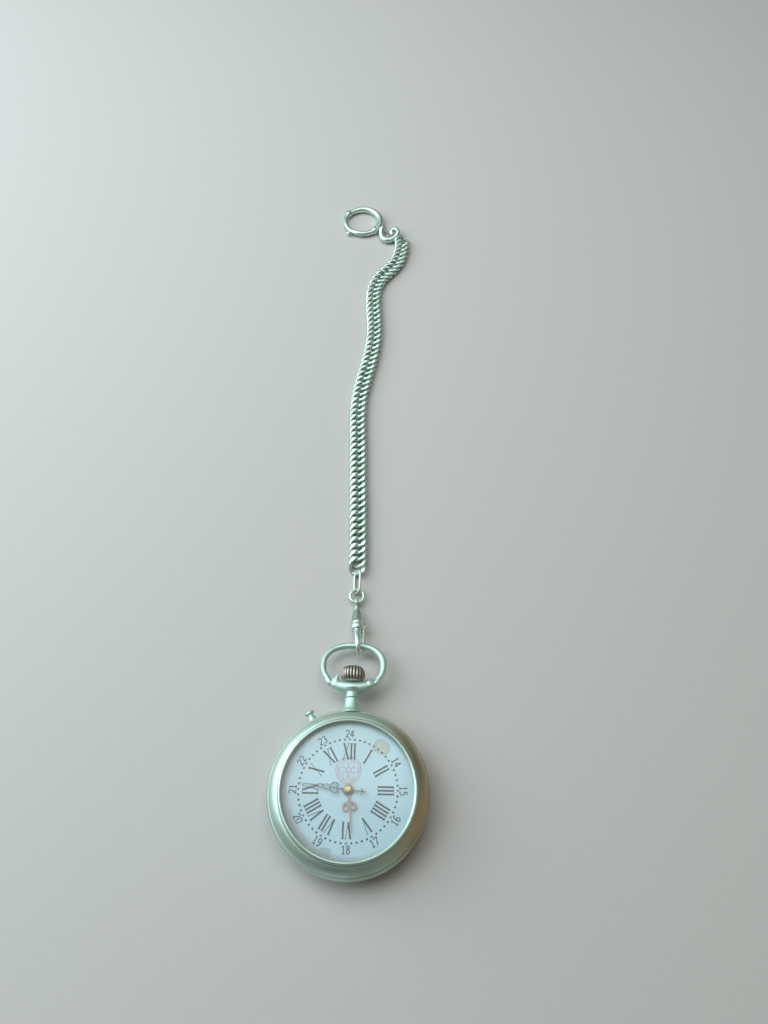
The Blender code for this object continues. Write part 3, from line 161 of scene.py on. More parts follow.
def disc(centre, radius, low, high):
    # A flat button whose outline is a list of radii round a centre.
    radius = np.asarray(radius, float)
    angle = np.arange(len(radius)) * turn / len(radius)
    x = centre[0] + radius * np.cos(angle)
    y = centre[1] + radius * np.sin(angle)
    rows = [np.stack([x, y, np.full(len(x), h)], -1) for h in (low, high)]
    return shell(np.array(rows), False, (*centre, low), (*centre, high))


def spun(points, angle, centre=(0, 0)):
    # Turns plane points about the origin and moves them to a centre.
    c, s = math.cos(angle), math.sin(angle)
    points = np.asarray(points, float)
    return points @ np.array([[c, s], [-s, c]]) + np.asarray(centre, float)


def makePiece(name, shells, finish, body, replaced=(), sharp=40, marks=None):
    # Joins closed skins into one mesh. marks gives a number to each point, which a finish reads as a darker
    # colour: dirt in the bezel's seams, darker grooves on the crown and clasp, painted shade low on the chain
    # links.
    points, faces, first = [], [], 0
    for skin, quads, fans in shells:
        points.append(skin)
        faces += (quads + first).tolist() + (fans + first).tolist()
        first += len(skin)
    points = np.vstack(points)
    mesh = bpy.data.meshes.new(name)
    mesh.from_pydata(points.tolist(), [], faces)
    if marks is not None:
        full = np.zeros(len(points), np.float32)
        full[: len(marks)] = marks
        mesh.attributes.new("dirtAndShade", "FLOAT", "POINT").data.foreach_set("value", full)
    mesh.shade_smooth()
    mesh.set_sharp_from_angle(angle=math.radians(sharp))
    mesh.materials.append(finish)
    made = bpy.data.objects.new(name, mesh)
    bpy.context.collection.objects.link(made)
    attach(made, body)
    if replaced:
        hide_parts(*replaced)
    return made


def newFinish(name, **sockets):
    finish = bpy.data.materials.new(name)
    finish.use_nodes = True
    shader = finish.node_tree.nodes["Principled BSDF"]
    for socket, value in sockets.items():
        shader.inputs[socket.replace("_", " ")].default_value = value
    return finish, finish.node_tree, shader


def addNode(tree, kind, inputs=None, **settings):
    node = tree.nodes.new(kind)
    for key, value in settings.items():
        setattr(node, key, value)
    for socket, value in (inputs or {}).items():
        if isinstance(value, bpy.types.NodeSocket):
            tree.links.new(value, node.inputs[socket])
        else:
            node.inputs[socket].default_value = value
    return node


def mixed(tree, factor, a, b):
    # Blends two colours, each a value or a socket.
    node = addNode(tree, "ShaderNodeMix", data_type="RGBA")
    for index, value in ((0, factor), (6, a), (7, b)):
        if isinstance(value, bpy.types.NodeSocket):
            tree.links.new(value, node.inputs[index])
        else:
            node.inputs[index].default_value = value if index == 0 else (*value, 1.0)
    return node.outputs[2]


def worked(tree, operation, *values):
    # One number from others: a sum, a product, or a product with a third added.
    return addNode(tree, "ShaderNodeMath", dict(enumerate(values)), operation=operation).outputs[0]


def measured(tree, operation, *values):
    # One number from places: a distance, a length or a dot product.
    node = addNode(tree, "ShaderNodeVectorMath", dict(enumerate(values)), operation=operation)
    return node.outputs["Value"]


def ranged(tree, value, fromLow, fromHigh, toLow=0.0, toHigh=1.0):
    # A value carried from one range to another, eased at both ends.
    inputs = {0: value, 1: fromLow, 2: fromHigh, 3: toLow, 4: toHigh}
    return addNode(tree, "ShaderNodeMapRange", inputs, interpolation_type="SMOOTHSTEP").outputs[0]


def noise(tree, place, scale, detail=3.0, roughness=0.55, stretch=None):
    if stretch:
        place = addNode(tree, "ShaderNodeMapping", {"Vector": place, "Scale": stretch}).outputs[0]
    inputs = {"Vector": place, "Scale": scale, "Detail": detail, "Roughness": roughness}
    return addNode(tree, "ShaderNodeTexNoise", inputs).outputs[0]


metalLooks = {
    # light, patina and dark colours (dirt in specks, and painted shade or dirt where a piece's marks say),
    # roughness low and high, patina clouds per metre, how far the patina goes
    "caseNickel": ((0.60, 0.76, 0.69), (0.50, 0.60, 0.49), (0.14, 0.12, 0.07), 0.44, 0.60, 55, 0.8),
    "fittingNickel": ((0.60, 0.80, 0.73), (0.50, 0.64, 0.55), (0.14, 0.12, 0.07), 0.50, 0.64, 140, 0.7),
    "crownNickel": ((0.62, 0.60, 0.53), (0.42, 0.36, 0.28), (0.030, 0.022, 0.015), 0.34, 0.52, 220, 0.8),
    "chainNickel": ((0.72, 0.88, 0.80), (0.52, 0.62, 0.52), (0.08, 0.10, 0.07), 0.38, 0.54, 160, 0.6),
    "gildedHands": ((0.46, 0.32, 0.22), (0.26, 0.20, 0.16), (0.10, 0.07, 0.04), 0.30, 0.50, 500, 0.8),
    "brassBoss": ((0.62, 0.47, 0.20), (0.42, 0.30, 0.12), (0.12, 0.08, 0.03), 0.22, 0.42, 500, 0.8),
    "darkHands": ((0.20, 0.20, 0.19), (0.10, 0.10, 0.10), (0.03, 0.03, 0.03), 0.30, 0.46, 500, 0.8),
    "movementBrass": ((0.80, 0.58, 0.26), (0.60, 0.42, 0.18), (0.2, 0.13, 0.05), 0.20, 0.36, 140, 0.6),
    "movementSteel": ((0.60, 0.61, 0.64), (0.42, 0.43, 0.46), (0.1, 0.1, 0.1), 0.16, 0.32, 200, 0.6),
    "bridgeNickel": ((0.58, 0.57, 0.53), (0.45, 0.43, 0.38), (0.1, 0.09, 0.07), 0.22, 0.38, 120, 0.6),
}


metalGrain = {"specks": 14, "hairs": 900, "dirtShare": 0.45, "bump": 0.10, "bumpDepth": 0.0002}
# Brass-brown on one side of the case: partly plating worn through to brass, partly a painted warm reflection.
wornSideAndPaintedReflection = {
    "finish": "caseNickel",
    "direction": (1.0, 0.12, 0),
    "from": 13.0,
    "to": 23.5,
    "ragged": 3.0,
    "share": 0.8,
    "lipZ": 12.35,
    "lipFade": 0.25,
    "lipShare": 0.25,
    "colour": (0.40, 0.33, 0.19),
}


def metalFinish(name):
    # Patina in soft clouds, fine hairline scratches in the bump, and a darker colour where the piece's own
    # marks say: dirt in the bezel's seams, darker grooves on the crown and clasp, painted shade low on the
    # chain links.
    light, patina, dirtAndShade, smoothest, roughest, size, share = metalLooks[name]
    finish, tree, shader = newFinish(name, Metallic=1.0)
    place = addNode(tree, "ShaderNodeTexCoord").outputs["Object"]
    clouds = ranged(tree, noise(tree, place, size, 5.0), 0.38, 0.66, 0.0, share)
    specks = noise(tree, place, size * metalGrain["specks"], 4.0, 0.65)
    hairs = noise(tree, place, metalGrain["hairs"], 2.0, 0.5, (0.25, 3.0, 1.0))
    marked = addNode(tree, "ShaderNodeAttribute", attribute_name="dirtAndShade").outputs["Fac"]
    colour = mixed(tree, clouds, light, patina)
    if name == wornSideAndPaintedReflection["finish"]:
        # On one side the colour turns brass-brown, more with the way along a direction, but hardly on the
        # lip: partly the plating rubbed through to brass, partly a painted warm reflection on that side.
        along = measured(tree, "DOT_PRODUCT", place, wornSideAndPaintedReflection["direction"])
        ragged = worked(tree, "MULTIPLY_ADD", clouds, wornSideAndPaintedReflection["ragged"] * mm, along)
        bareAndReflected = ranged(tree, ragged, wornSideAndPaintedReflection["from"] * mm, wornSideAndPaintedReflection["to"] * mm, 0.0, wornSideAndPaintedReflection["share"])
        high = addNode(tree, "ShaderNodeSeparateXYZ", {0: place}).outputs[2]
        lipTop = (wornSideAndPaintedReflection["lipZ"] + wornSideAndPaintedReflection["lipFade"]) * mm
        below = ranged(tree, high, wornSideAndPaintedReflection["lipZ"] * mm, lipTop, 1.0, wornSideAndPaintedReflection["lipShare"])
        rubbedAndReflected = worked(tree, "MULTIPLY", bareAndReflected, below)
        colour = mixed(tree, rubbedAndReflected, colour, wornSideAndPaintedReflection["colour"])
    colour = mixed(tree, ranged(tree, specks, 0.62, 0.74, 0.0, metalGrain["dirtShare"]), colour, dirtAndShade)
    # the marks darken towards the dark colour: on the chain links this is painted shade
    colour = mixed(tree, marked, colour, dirtAndShade)
    tree.links.new(colour, shader.inputs["Base Color"])
    dull = worked(tree, "ADD", specks, clouds)
    tree.links.new(ranged(tree, dull, 0.3, 1.3, smoothest, roughest), shader.inputs["Roughness"])
    relief = {
        "Height": worked(tree, "ADD", hairs, specks),
        "Strength": metalGrain["bump"],
        "Distance": metalGrain["bumpDepth"],
    }
    bump = addNode(tree, "ShaderNodeBump", relief)
    tree.links.new(bump.outputs[0], shader.inputs["Normal"])
    return finish


enamelLook = {
    "pale": (0.56, 0.80, 0.88),
    "deep": (0.52, 0.74, 0.82),
    "cloudSize": 90,
    "wobble": 420,
    "rimRagged": 1.6,
    "rimShadowLean": (-0.09, -0.05, 0),
    "rimFrom": 20.9,
    "rimTo": 23.4,
    "rimShare": 0.8,
    # grey of the painted bezel shadow, with some grime
    "rimShadowAndGrimeColour": (0.36, 0.37, 0.35),
}
dialStains = {
    # centre x, centre y, radius in mm, strength, colour
    "damp": (10.6, 13.9, 3.4, 0.85, (0.50, 0.53, 0.38)),
    "rust": (-6.6, -19.3, 2.4, 0.6, (0.36, 0.40, 0.40)),
    "centre": (0.3, 2.2, 2.9, 0.28, (0.62, 0.55, 0.42)),
}


def enamelFinish():
    # Pale glossy enamel. Each stain fades from its centre with a ragged edge, and the rim is grey: a painted
    # shadow of the bezel's wall with some grime, wider on the left and front.
    finish, tree, shader = newFinish("dialEnamel", Roughness=0.22, Coat_Weight=0.4, Coat_Roughness=0.08)
    place = addNode(tree, "ShaderNodeTexCoord").outputs["Object"]
    wobble = noise(tree, place, enamelLook["wobble"], 5.0, 0.6)
    clouds = ranged(tree, noise(tree, place, enamelLook["cloudSize"], 3.0), 0.35, 0.7)
    colour = mixed(tree, clouds, enamelLook["pale"], enamelLook["deep"])
    for x, y, radius, strength, stain in dialStains.values():
        centre = (x * mm, y * mm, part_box("dial")[1].z)
        away = measured(tree, "DISTANCE", place, centre)
        ragged = worked(tree, "MULTIPLY_ADD", wobble, radius * 1.3 * mm, away)
        amount = ranged(tree, ragged, radius * 1.5 * mm, radius * 1.2 * mm, 0.0, strength)
        colour = mixed(tree, amount, colour, stain)
        # a darker line just inside the stain's edge
        edge = ranged(tree, ragged, radius * 1.15 * mm, radius * 1.35 * mm, 0.0, 1.0)
        inside = ranged(tree, ragged, radius * 1.5 * mm, radius * 1.4 * mm, 0.0, strength * 0.5)
        darker = tuple(0.55 * c for c in stain)
        colour = mixed(tree, worked(tree, "MULTIPLY", edge, inside), colour, darker)
    flat = addNode(tree, "ShaderNodeVectorMath", {0: place, 1: (1, 1, 0)}, operation="MULTIPLY").outputs[0]
    out = measured(tree, "LENGTH", flat)
    ragged = worked(tree, "MULTIPLY_ADD", wobble, enamelLook["rimRagged"] * mm, out)
    # the painted bezel shadow reaches further in on the left and front
    lean = measured(tree, "DOT_PRODUCT", place, enamelLook["rimShadowLean"])
    leaning = worked(tree, "ADD", ragged, lean)
    rimFrom, rimTo = enamelLook["rimFrom"] * mm, enamelLook["rimTo"] * mm
    rim = ranged(tree, leaning, rimFrom, rimTo, 0.0, enamelLook["rimShare"])
    colour = mixed(tree, rim, colour, enamelLook["rimShadowAndGrimeColour"])
    tree.links.new(colour, shader.inputs["Base Color"])
    bump = addNode(tree, "ShaderNodeBump", {"Height": wobble, "Strength": 0.05, "Distance": 0.0002})
    tree.links.new(bump.outputs[0], shader.inputs["Normal"])
    return finish


def inkFinish(name, dark, worn):
    # Printed ink, thinner in places.
    finish, tree, shader = newFinish(name, Roughness=0.42)
    place = addNode(tree, "ShaderNodeTexCoord").outputs["Object"]
    colour = mixed(tree, ranged(tree, noise(tree, place, 1300, 3.0), 0.45, 0.75), dark, worn)
    tree.links.new(colour, shader.inputs["Base Color"])
    return finish


def glassFinish():
    # Clear glass that light passes straight through, with faint smears in its gloss.
    finish, tree, shader = newFinish("watchGlass", Alpha=0.10, IOR=1.5, Specular_IOR_Level=0.9)
    finish.surface_render_method = "BLENDED"
    place = addNode(tree, "ShaderNodeTexCoord").outputs["Object"]
    smears = noise(tree, place, 130, 4.0)
    tree.links.new(mixed(tree, smears, (0.86, 0.95, 0.95), (0.95, 0.98, 0.97)), shader.inputs["Base Color"])
    tree.links.new(ranged(tree, smears, 0.3, 0.8, 0.03, 0.16), shader.inputs["Roughness"])
    return finish


finishes = {name: metalFinish(name) for name in metalLooks}
finishes["dialEnamel"] = enamelFinish()
finishes["numeralInk"] = inkFinish("numeralInk", (0.010, 0.010, 0.014), (0.06, 0.06, 0.075))
finishes["ornamentInk"] = inkFinish("ornamentInk", (0.46, 0.20, 0.31), (0.60, 0.44, 0.52))
finishes["watchGlass"] = glassFinish()
slotFinish = {
    "nickel_case": "caseNickel",
    "aged_nickel": "bridgeNickel",
    "chain_nickel": "chainNickel",
    "watch_glass": "watchGlass",
    "dial_enamel": "dialEnamel",
    "movement_brass": "movementBrass",
    "movement_steel": "movementSteel",
    "hand_metal": "gildedHands",
}
slotOf = {s["node"]: s["material_slot"] for s in frame["record"]["subparts"]}
for nodeName, node in frame["nodes"].items():
    node.data.materials.clear()
    node.data.materials.append(finishes[slotFinish[slotOf[nodeName]]])
print("finishes made:", len(finishes))

caseShape = {
    "radius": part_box("case_middle")[1].x / mm,
    "bandZ": 6.6,  # height of the widest line, and of the stem
    "steps": 200,
    "bandFrom": 4.3,
    "bandTo": 8.8,
    "bandRows": 19,
    "fallBelow": 0.8,
    "fallAbove": 0.65,
    "fallReach": 2.3,
    "corner": 0.12,
    "inside": [
        (25.6, 8.86), (23.4, 8.86), (23.4, 9.9), (22.4, 9.9), (22.4, 7.5),
        (21.0, 7.5), (21.0, 6.7), (22.4, 6.7), (22.4, 4.3),
    ],
}
hingeShape = {
    "x": -25.75,
    "z": 3.75,
    "radius": 0.75,
    "corner": 0.12,
    "steps": 28,
    "coverHalf": 1.0,
    "caseFrom": 1.4,
    "caseTo": 3.3,
}
stemAxis = (0, 1, 0)
stemAt = (0, 0, caseShape["bandZ"])
steps = caseShape["steps"]


def knuckle(low, high):
    # One barrel of the hinge: a cylinder whose ends are bevelled.
    radius, corner = hingeShape["radius"], hingeShape["corner"]
    lowEnd = [(0, low), (radius - corner, low), (radius, low + corner)]
    highEnd = [(radius, high - corner), (radius - corner, high), (0, high)]
    return turned(lowEnd + highEnd, hingeShape["steps"], (hingeShape["x"], 0, hingeShape["z"]), stemAxis)


def bandRadius(z):
    # The band bulges to its widest line: the radius less a fall times the height from that line squared.
    fall = np.where(z < caseShape["bandZ"], caseShape["fallBelow"], caseShape["fallAbove"])
    return caseShape["radius"] - fall * ((z - caseShape["bandZ"]) / caseShape["fallReach"]) ** 2


bandZ = np.linspace(caseShape["bandFrom"], caseShape["bandTo"], caseShape["bandRows"])
bandOuter = np.stack([bandRadius(bandZ), bandZ], -1)
bandOuter[[0, -1], 0] -= caseShape["corner"]
bandSkins = [
    turned(np.vstack([bandOuter, caseShape["inside"]]), steps),
    knuckle(-hingeShape["caseTo"], -hingeShape["caseFrom"]),
    knuckle(hingeShape["caseFrom"], hingeShape["caseTo"]),
]
makePiece("caseBand", bandSkins, finishes["caseNickel"], "case", ["case_middle"], 32)

bezelShape = {
    "slope": [(26.0, 9.12), (25.98, 9.5), (25.6, 10.25), (24.7, 11.25), (23.7, 11.98), (22.95, 12.3)],
    "lip": [(22.86, 12.36), (22.78, 12.8), (22.55, 13.2), (22.2, 13.38), (21.85, 13.28), (21.5, 13.0)],
    "inside": [
        (22.3, 12.95), (22.3, 11.7), (21.6, 11.7), (21.6, 11.2),
        (22.4, 11.2), (22.4, 10.2), (23.7, 10.2), (23.7, 9.12),
    ],
    "slopeRows": 26,
    "lipRows": 16,
    "seamDirt": 0.8,
    "grooveDirt": 0.45,
}
bezelSlope = smoothLine(bezelShape["slope"], bezelShape["slopeRows"])
bezelLip = smoothLine(bezelShape["lip"], bezelShape["lipRows"])
bezelSkin = turned(np.vstack([bezelSlope, bezelLip, bezelShape["inside"]]), steps)
bezelMarks = np.zeros((len(bezelSlope) + len(bezelLip) + len(bezelShape["inside"]), steps))
bezelMarks[0] = bezelShape["seamDirt"]
bezelMarks[len(bezelSlope) - 1 : len(bezelSlope) + 1] = bezelShape["grooveDirt"]
bezelMarks = bezelMarks.ravel()
makePiece("glassBezel", [bezelSkin], finishes["caseNickel"], "case", ["bezel"], 32, bezelMarks)

coverShape = {
    "flat": 14.0,
    "dish": 12.2,
    "rim": 4.0,
    "edge": 0.8,
    "wall": 0.75,
    "rows": 22,
    "inside": [(13.5, 0.85), (0, 0.85)],
}
# The dish rises from the flat as the square of the way to the rim.
coverRadii = np.linspace(coverShape["flat"], caseShape["radius"] - coverShape["edge"], coverShape["rows"])
coverRise = coverShape["rim"] * ((coverRadii - coverShape["flat"]) / coverShape["dish"]) ** 2
coverOuter = np.stack([coverRadii, coverRise], -1)
coverInner = (coverOuter[1:-1] + (-coverShape["wall"], coverShape["wall"]))[::-1]
coverLip = [(25.3, coverShape["rim"])]
coverProfile = np.vstack([[(0, 0)], coverOuter, coverLip, coverInner, coverShape["inside"]])
coverSkins = [turned(coverProfile, steps), knuckle(-hingeShape["coverHalf"], hingeShape["coverHalf"])]
makePiece("backCover", coverSkins, finishes["caseNickel"], "back_cover", ["back_cover"], 32)

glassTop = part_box("crystal")[1].z / mm
glassShape = {
    "outside": [
        (22.0, 12.1), (21.98, 12.7), (21.4, 12.95), (20.2, 13.35), (16.0, 14.05),
        (8.0, glassTop - 0.12), (0, glassTop),
    ],
    "inside": [
        (0, glassTop - 0.8), (8.0, glassTop - 0.92), (15.0, glassTop - 1.4),
        (19.8, 12.62), (21.0, 12.06), (21.9, 12.04),
    ],
    "outsideRows": 40,
    "insideRows": 30,
    "steps": 160,
}
glassOuter = smoothLine(glassShape["outside"], glassShape["outsideRows"])
glassInner = smoothLine(glassShape["inside"], glassShape["insideRows"])
glassOuter[-1, 0] = 0
glassInner[0, 0] = 0
glassSkin = turned(np.vstack([glassInner, glassOuter]), glassShape["steps"])
makePiece("watchCrystal", [glassSkin], finishes["watchGlass"], "case", ["crystal"], 40)

neckShape = {
    "bore": 1.1,
    "flare": [
        (3.9, 25.9), (3.55, 26.7), (3.1, 27.15), (2.82, 27.9), (2.66, 29.2), (2.6, 30.75), (2.46, 31.0),
    ],
    "rows": 24,
    "steps": 64,
}
neckFlare = smoothLine(neckShape["flare"], neckShape["rows"])
neckBore = [(neckShape["bore"], neckShape["flare"][end][1]) for end in (0, -1)]
neckProfile = np.vstack([neckBore[:1], neckFlare, neckBore[1:]])
neckSkin = turned(neckProfile, neckShape["steps"], stemAt, stemAxis)
makePiece("pendantTube", [neckSkin], finishes["fittingNickel"], "case", ["pendant_tube"], 32)

yokeShape = {
    "middleY": 34.8,
    "endY": 36.7,
    "half": 7.6,
    "thick": 2.45,
    "thin": 1.32,
    "flat": 0.95,
    "rise": 1.8,
    "taper": 1.5,
    "endShare": 0.86,
    "rows": 61,
    "neck": [(2.2, 31.3), (2.3, 31.5), (2.22, 32.4), (2.25, 33.2), (2.7, 33.9), (3.1, 34.6)],
    # each ear's points are x, y, z and radius
    "ears": (
        [(-5.7, 35.7, 6.8, 1.9), (-5.9, 37.1, 7.0, 1.55), (-5.35, 39.3, 7.3, 0.4)],
        [(5.7, 35.7, 6.8, 1.9), (5.9, 37.1, 7.0, 1.55), (5.9, 38.2, 7.3, 0.4)],
    ),
    "earFlat": 0.8,
}
# The yoke climbs from its middle, and thins, with powers of the way to its ends.
share = np.linspace(-1, 1, yokeShape["rows"])
yokeClimb = (yokeShape["endY"] - yokeShape["middleY"]) * np.abs(share) ** yokeShape["rise"]
yokeHeight = np.full(yokeShape["rows"], caseShape["bandZ"])
yokeLine = np.stack([yokeShape["half"] * share, yokeShape["middleY"] + yokeClimb, yokeHeight], -1)
yokeThinning = (yokeShape["thick"] - yokeShape["thin"]) * np.abs(share) ** yokeShape["taper"]
yokeRadius = yokeShape["thick"] - yokeThinning
yokeRadius[[0, -1]] *= yokeShape["endShare"]
yokeNeck = smoothLine(yokeShape["neck"], 20)
neckEnds = [(0, yokeShape["neck"][end][1]) for end in (0, -1)]
yokeSkins = [
    swept(yokeLine, yokeRadius, 28, squeeze=yokeShape["flat"]),
    turned(np.vstack([neckEnds[:1], yokeNeck, neckEnds[1:]]), 56, stemAt, stemAxis),
]
yokeSkins += [rod(ear, 16, 20, squeeze=yokeShape["earFlat"]) for ear in yokeShape["ears"]]
makePiece("bowYoke", yokeSkins, finishes["fittingNickel"], "case", ["pendant_yoke"], 50)

bowShape = {
    "centreY": 43.4,
    "halfWidth": 10.7,
    "halfHeight": 7.9,
    "squareness": 2.35,
    "wire": 1.1,
    "wireMean": 1.03,
    "wireSwell": 0.11,
    "swellAngle": 0.4,
    "tilt": math.radians(-10),
    "pivotY": 36.6,
    "fromDegrees": 215,
    "throughDegrees": 250,
    "rows": 110,
    # x, y and radius, from inside the yoke to where the oval starts
    "end": [
        (6.2, 36.6, 0.6), (7.66, 36.6, 0.6), (7.7, 36.6, 1.2),
        (8.05, 36.72, 1.24), (8.45, 37.15, 1.22), (8.8, 37.8, 1.18),
    ],
}
bowRound = np.linspace(0, 1, bowShape["rows"])
bowAngle = np.radians(bowShape["fromDegrees"] - bowShape["throughDegrees"] * bowRound)
bowPower = 2 / bowShape["squareness"]
bowX = bowShape["halfWidth"] * powered(np.cos(bowAngle), bowPower)
bowY = bowShape["centreY"] + bowShape["halfHeight"] * powered(np.sin(bowAngle), bowPower)
bowSwell = bowShape["wireMean"] + bowShape["wireSwell"] * np.cos(bowAngle - bowShape["swellAngle"])
leftEnd = [(-x, y, radius) for x, y, radius in bowShape["end"]]
bowOval = np.stack([bowX, bowY, bowShape["wire"] * bowSwell], -1)
bowFlat = np.vstack([leftEnd, bowOval, bowShape["end"][::-1]])
# The flat bow leans about its pivot by the tilt.
bowReach = bowFlat[:, 1] - bowShape["pivotY"]
leanCos, leanSin = math.cos(bowShape["tilt"]), math.sin(bowShape["tilt"])
bowLine = [bowFlat[:, 0], bowShape["pivotY"] + bowReach * leanCos, caseShape["bandZ"] + bowReach * leanSin]
bowSkin = swept(np.stack(bowLine, -1), bowFlat[:, 2], 22, up=(0, -leanSin, leanCos))
makePiece("bowWire", [bowSkin], finishes["fittingNickel"], "bow", ["bow"], 60)

crownShape = {
    "ribs": 22,
    "perRib": 8,
    "depth": 0.34,
    "grooveSharpness": 1.5,
    "baseY": 37.0,
    "height": 5.7,
    "profile": [(2.6, 0), (3.5, 0.35), (4.15, 1.4), (4.32, 2.6), (4.1, 3.9), (3.35, 5.0), (2.0, 5.55)],
    "rows": 40,
    "fadeTop": 5.65,
    "fadeHigh": 0.9,
    "fadeLow": 0.5,
}
# The grooves are a raised cosine round the crown, and fade out towards its base and its top.
crownProfile = smoothLine(crownShape["profile"], crownShape["rows"])
crownSteps = crownShape["ribs"] * crownShape["perRib"]
ribAngle = np.arange(crownSteps) * turn / crownSteps
groove = (0.5 - 0.5 * np.cos(crownShape["ribs"] * ribAngle)) ** crownShape["grooveSharpness"]
fadeIn = crownProfile[:, 1] / crownShape["fadeLow"]
fadeOut = (crownShape["fadeTop"] - crownProfile[:, 1]) / crownShape["fadeHigh"]
fade = np.clip(np.minimum(fadeIn, fadeOut), 0, 1)
crownRadius = crownProfile[:, :1] - crownShape["depth"] * groove[None] * fade[:, None]
crownUp = np.broadcast_to(crownShape["baseY"] + crownProfile[:, 1:], crownRadius.shape)
crownLift = caseShape["bandZ"] + crownRadius * np.sin(ribAngle)
crownGrid = np.stack([crownRadius * np.cos(ribAngle), crownUp, crownLift], -1)
crownEnds = [(0, crownShape["baseY"] + y, caseShape["bandZ"]) for y in (0, crownShape["height"])]
crownSkin = shell(crownGrid, False, *crownEnds)
# The grooves are darker, as deep as the groove shape where it is not faded.
crownMarks = (groove[None] * fade[:, None]).ravel()
crownNickel = finishes["crownNickel"]
makePiece("windingCrown", [crownSkin], crownNickel, "crown", ["crown"], 70, crownMarks)

buttonShape = {
    "degrees": 119.4,
    "steps": 40,
    "button": [
        (0, 20.0), (0.6, 20.0), (0.6, 27.3), (0.9, 27.35), (0.92, 28.95), (1.4, 29.0),
        (1.65, 29.25), (1.6, 29.65), (1.25, 29.95), (0.6, 30.12), (0, 30.15),
    ],
    "sleeve": [
        (0.98, 26.2), (1.9, 26.2), (1.75, 26.9), (1.45, 27.3), (1.3, 27.9), (1.22, 28.05), (0.98, 28.05),
    ],
}
fitting = finishes["fittingNickel"]
buttonAngle = math.radians(buttonShape["degrees"])
buttonOut = np.array([math.cos(buttonAngle), math.sin(buttonAngle), 0])
buttonSkin = turned(buttonShape["button"], buttonShape["steps"], stemAt, buttonOut)
makePiece("setButton", [buttonSkin], fitting, "set_button", ["set_button"], 40)
sleeveSkin = turned(buttonShape["sleeve"], buttonShape["steps"], stemAt, buttonOut)
makePiece("buttonSleeve", [sleeveSkin], fitting, "case", ["set_button_tube"], 40)
print("case made")

dialShape = {
    "top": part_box("dial")[1].z / mm,
    "steps": 160,
    "ink": 0.03,
    "paleInk": 0.01,  # how much lower the faint ornament is printed
    "sink": 0.05,
    "numeralFoot": 9.8,
    "numeralHeight": 5.0,
    "serif": 0.22,
    "dotRadius": 16.2,
    "smallRadius": 18.05,
    "smallHeight": 2.35,
    "smallPitch": 1.5,
    "smallInk": 0.34,
    "invertedHours": (16, 17, 18, 19, 20),
}
dialTop = dialShape["top"]
inkFoot = dialTop - dialShape["sink"]
inkTop = dialTop + dialShape["ink"]
dialUnder = [(1.6, dialTop - 0.7), (21.8, dialTop - 0.7), (21.9, dialTop - 0.6)]
dialUpper = [(21.9, dialTop - 0.1), (21.8, dialTop), (1.6, dialTop)]
dialSkin = turned(dialUnder + dialUpper, dialShape["steps"])
makePiece("dialPlate", [dialSkin], finishes["dialEnamel"], "case", ["dial"], 40)

romanStrokes = {
    # width in mm, then strokes from one (x, y) to another with their thickness, then serifs as x from and to;
    # y is a share of the numeral's height
    "I": (1.12, [((0, 0), (0, 1), 0.58)], [(-0.45, 0.45)]),
    "V": (2.3, [((-0.72, 1), (0.04, 0), 0.6), ((0.8, 1), (0.04, 0), 0.2)], [(-1.15, -0.3), (0.5, 1.1)]),
    "X": (2.35, [((-0.72, 1), (0.78, 0), 0.6), ((0.78, 1), (-0.78, 0), 0.2)], [(-1.1, -0.35), (0.4, 1.1)]),
}
romanHours = ["I", "II", "III", "IIII", "V", "VI", "VII", "VIII", "IX", "X", "XI", "XII"]


def romanNumeral(letters, angle):
    # Letters stand side by side on a line square to the spoke, feet towards the centre.
    foot, height = dialShape["numeralFoot"], dialShape["numeralHeight"]
    x = -sum(romanStrokes[letter][0] for letter in letters) / 2
    skins = []
    for letter in letters:
        advance, strokes, serifs = romanStrokes[letter]
        x += advance / 2
        lines = []
        for a, b, thickness in strokes:
            ends = [(x + a[0], foot + a[1] * height), (x + b[0], foot + b[1] * height)]
            lines.append((ends, thickness))
        for y in (foot, foot + height):
            for low, high in [] if letter == "V" and y == foot else serifs:
                lines.append(([(x + low, y), (x + high, y)], dialShape["serif"]))
        skins += [ribbon(spun(np.linspace(*ends, 3), angle), width, inkFoot, inkTop) for ends, width in lines]
        x += advance / 2
    return skins


numeralSkins = []
for hour, letters in enumerate(romanHours, 1):
    numeralSkins += romanNumeral(letters, -hour * turn / 12)
makePiece("hourNumerals", numeralSkins, finishes["numeralInk"], "case")

dotSkins = []
for minute in range(60):
    angle = minute * turn / 60
    centre = (dialShape["dotRadius"] * math.sin(angle), dialShape["dotRadius"] * math.cos(angle))
    radii = [0.55, 0.24] * 4 if minute % 5 == 0 else [0.38] * 10  # a star on the hours, a dot between
    dotSkins.append(disc(centre, radii, inkFoot, inkTop))
makePiece("minuteDots", dotSkins, finishes["numeralInk"], "case")

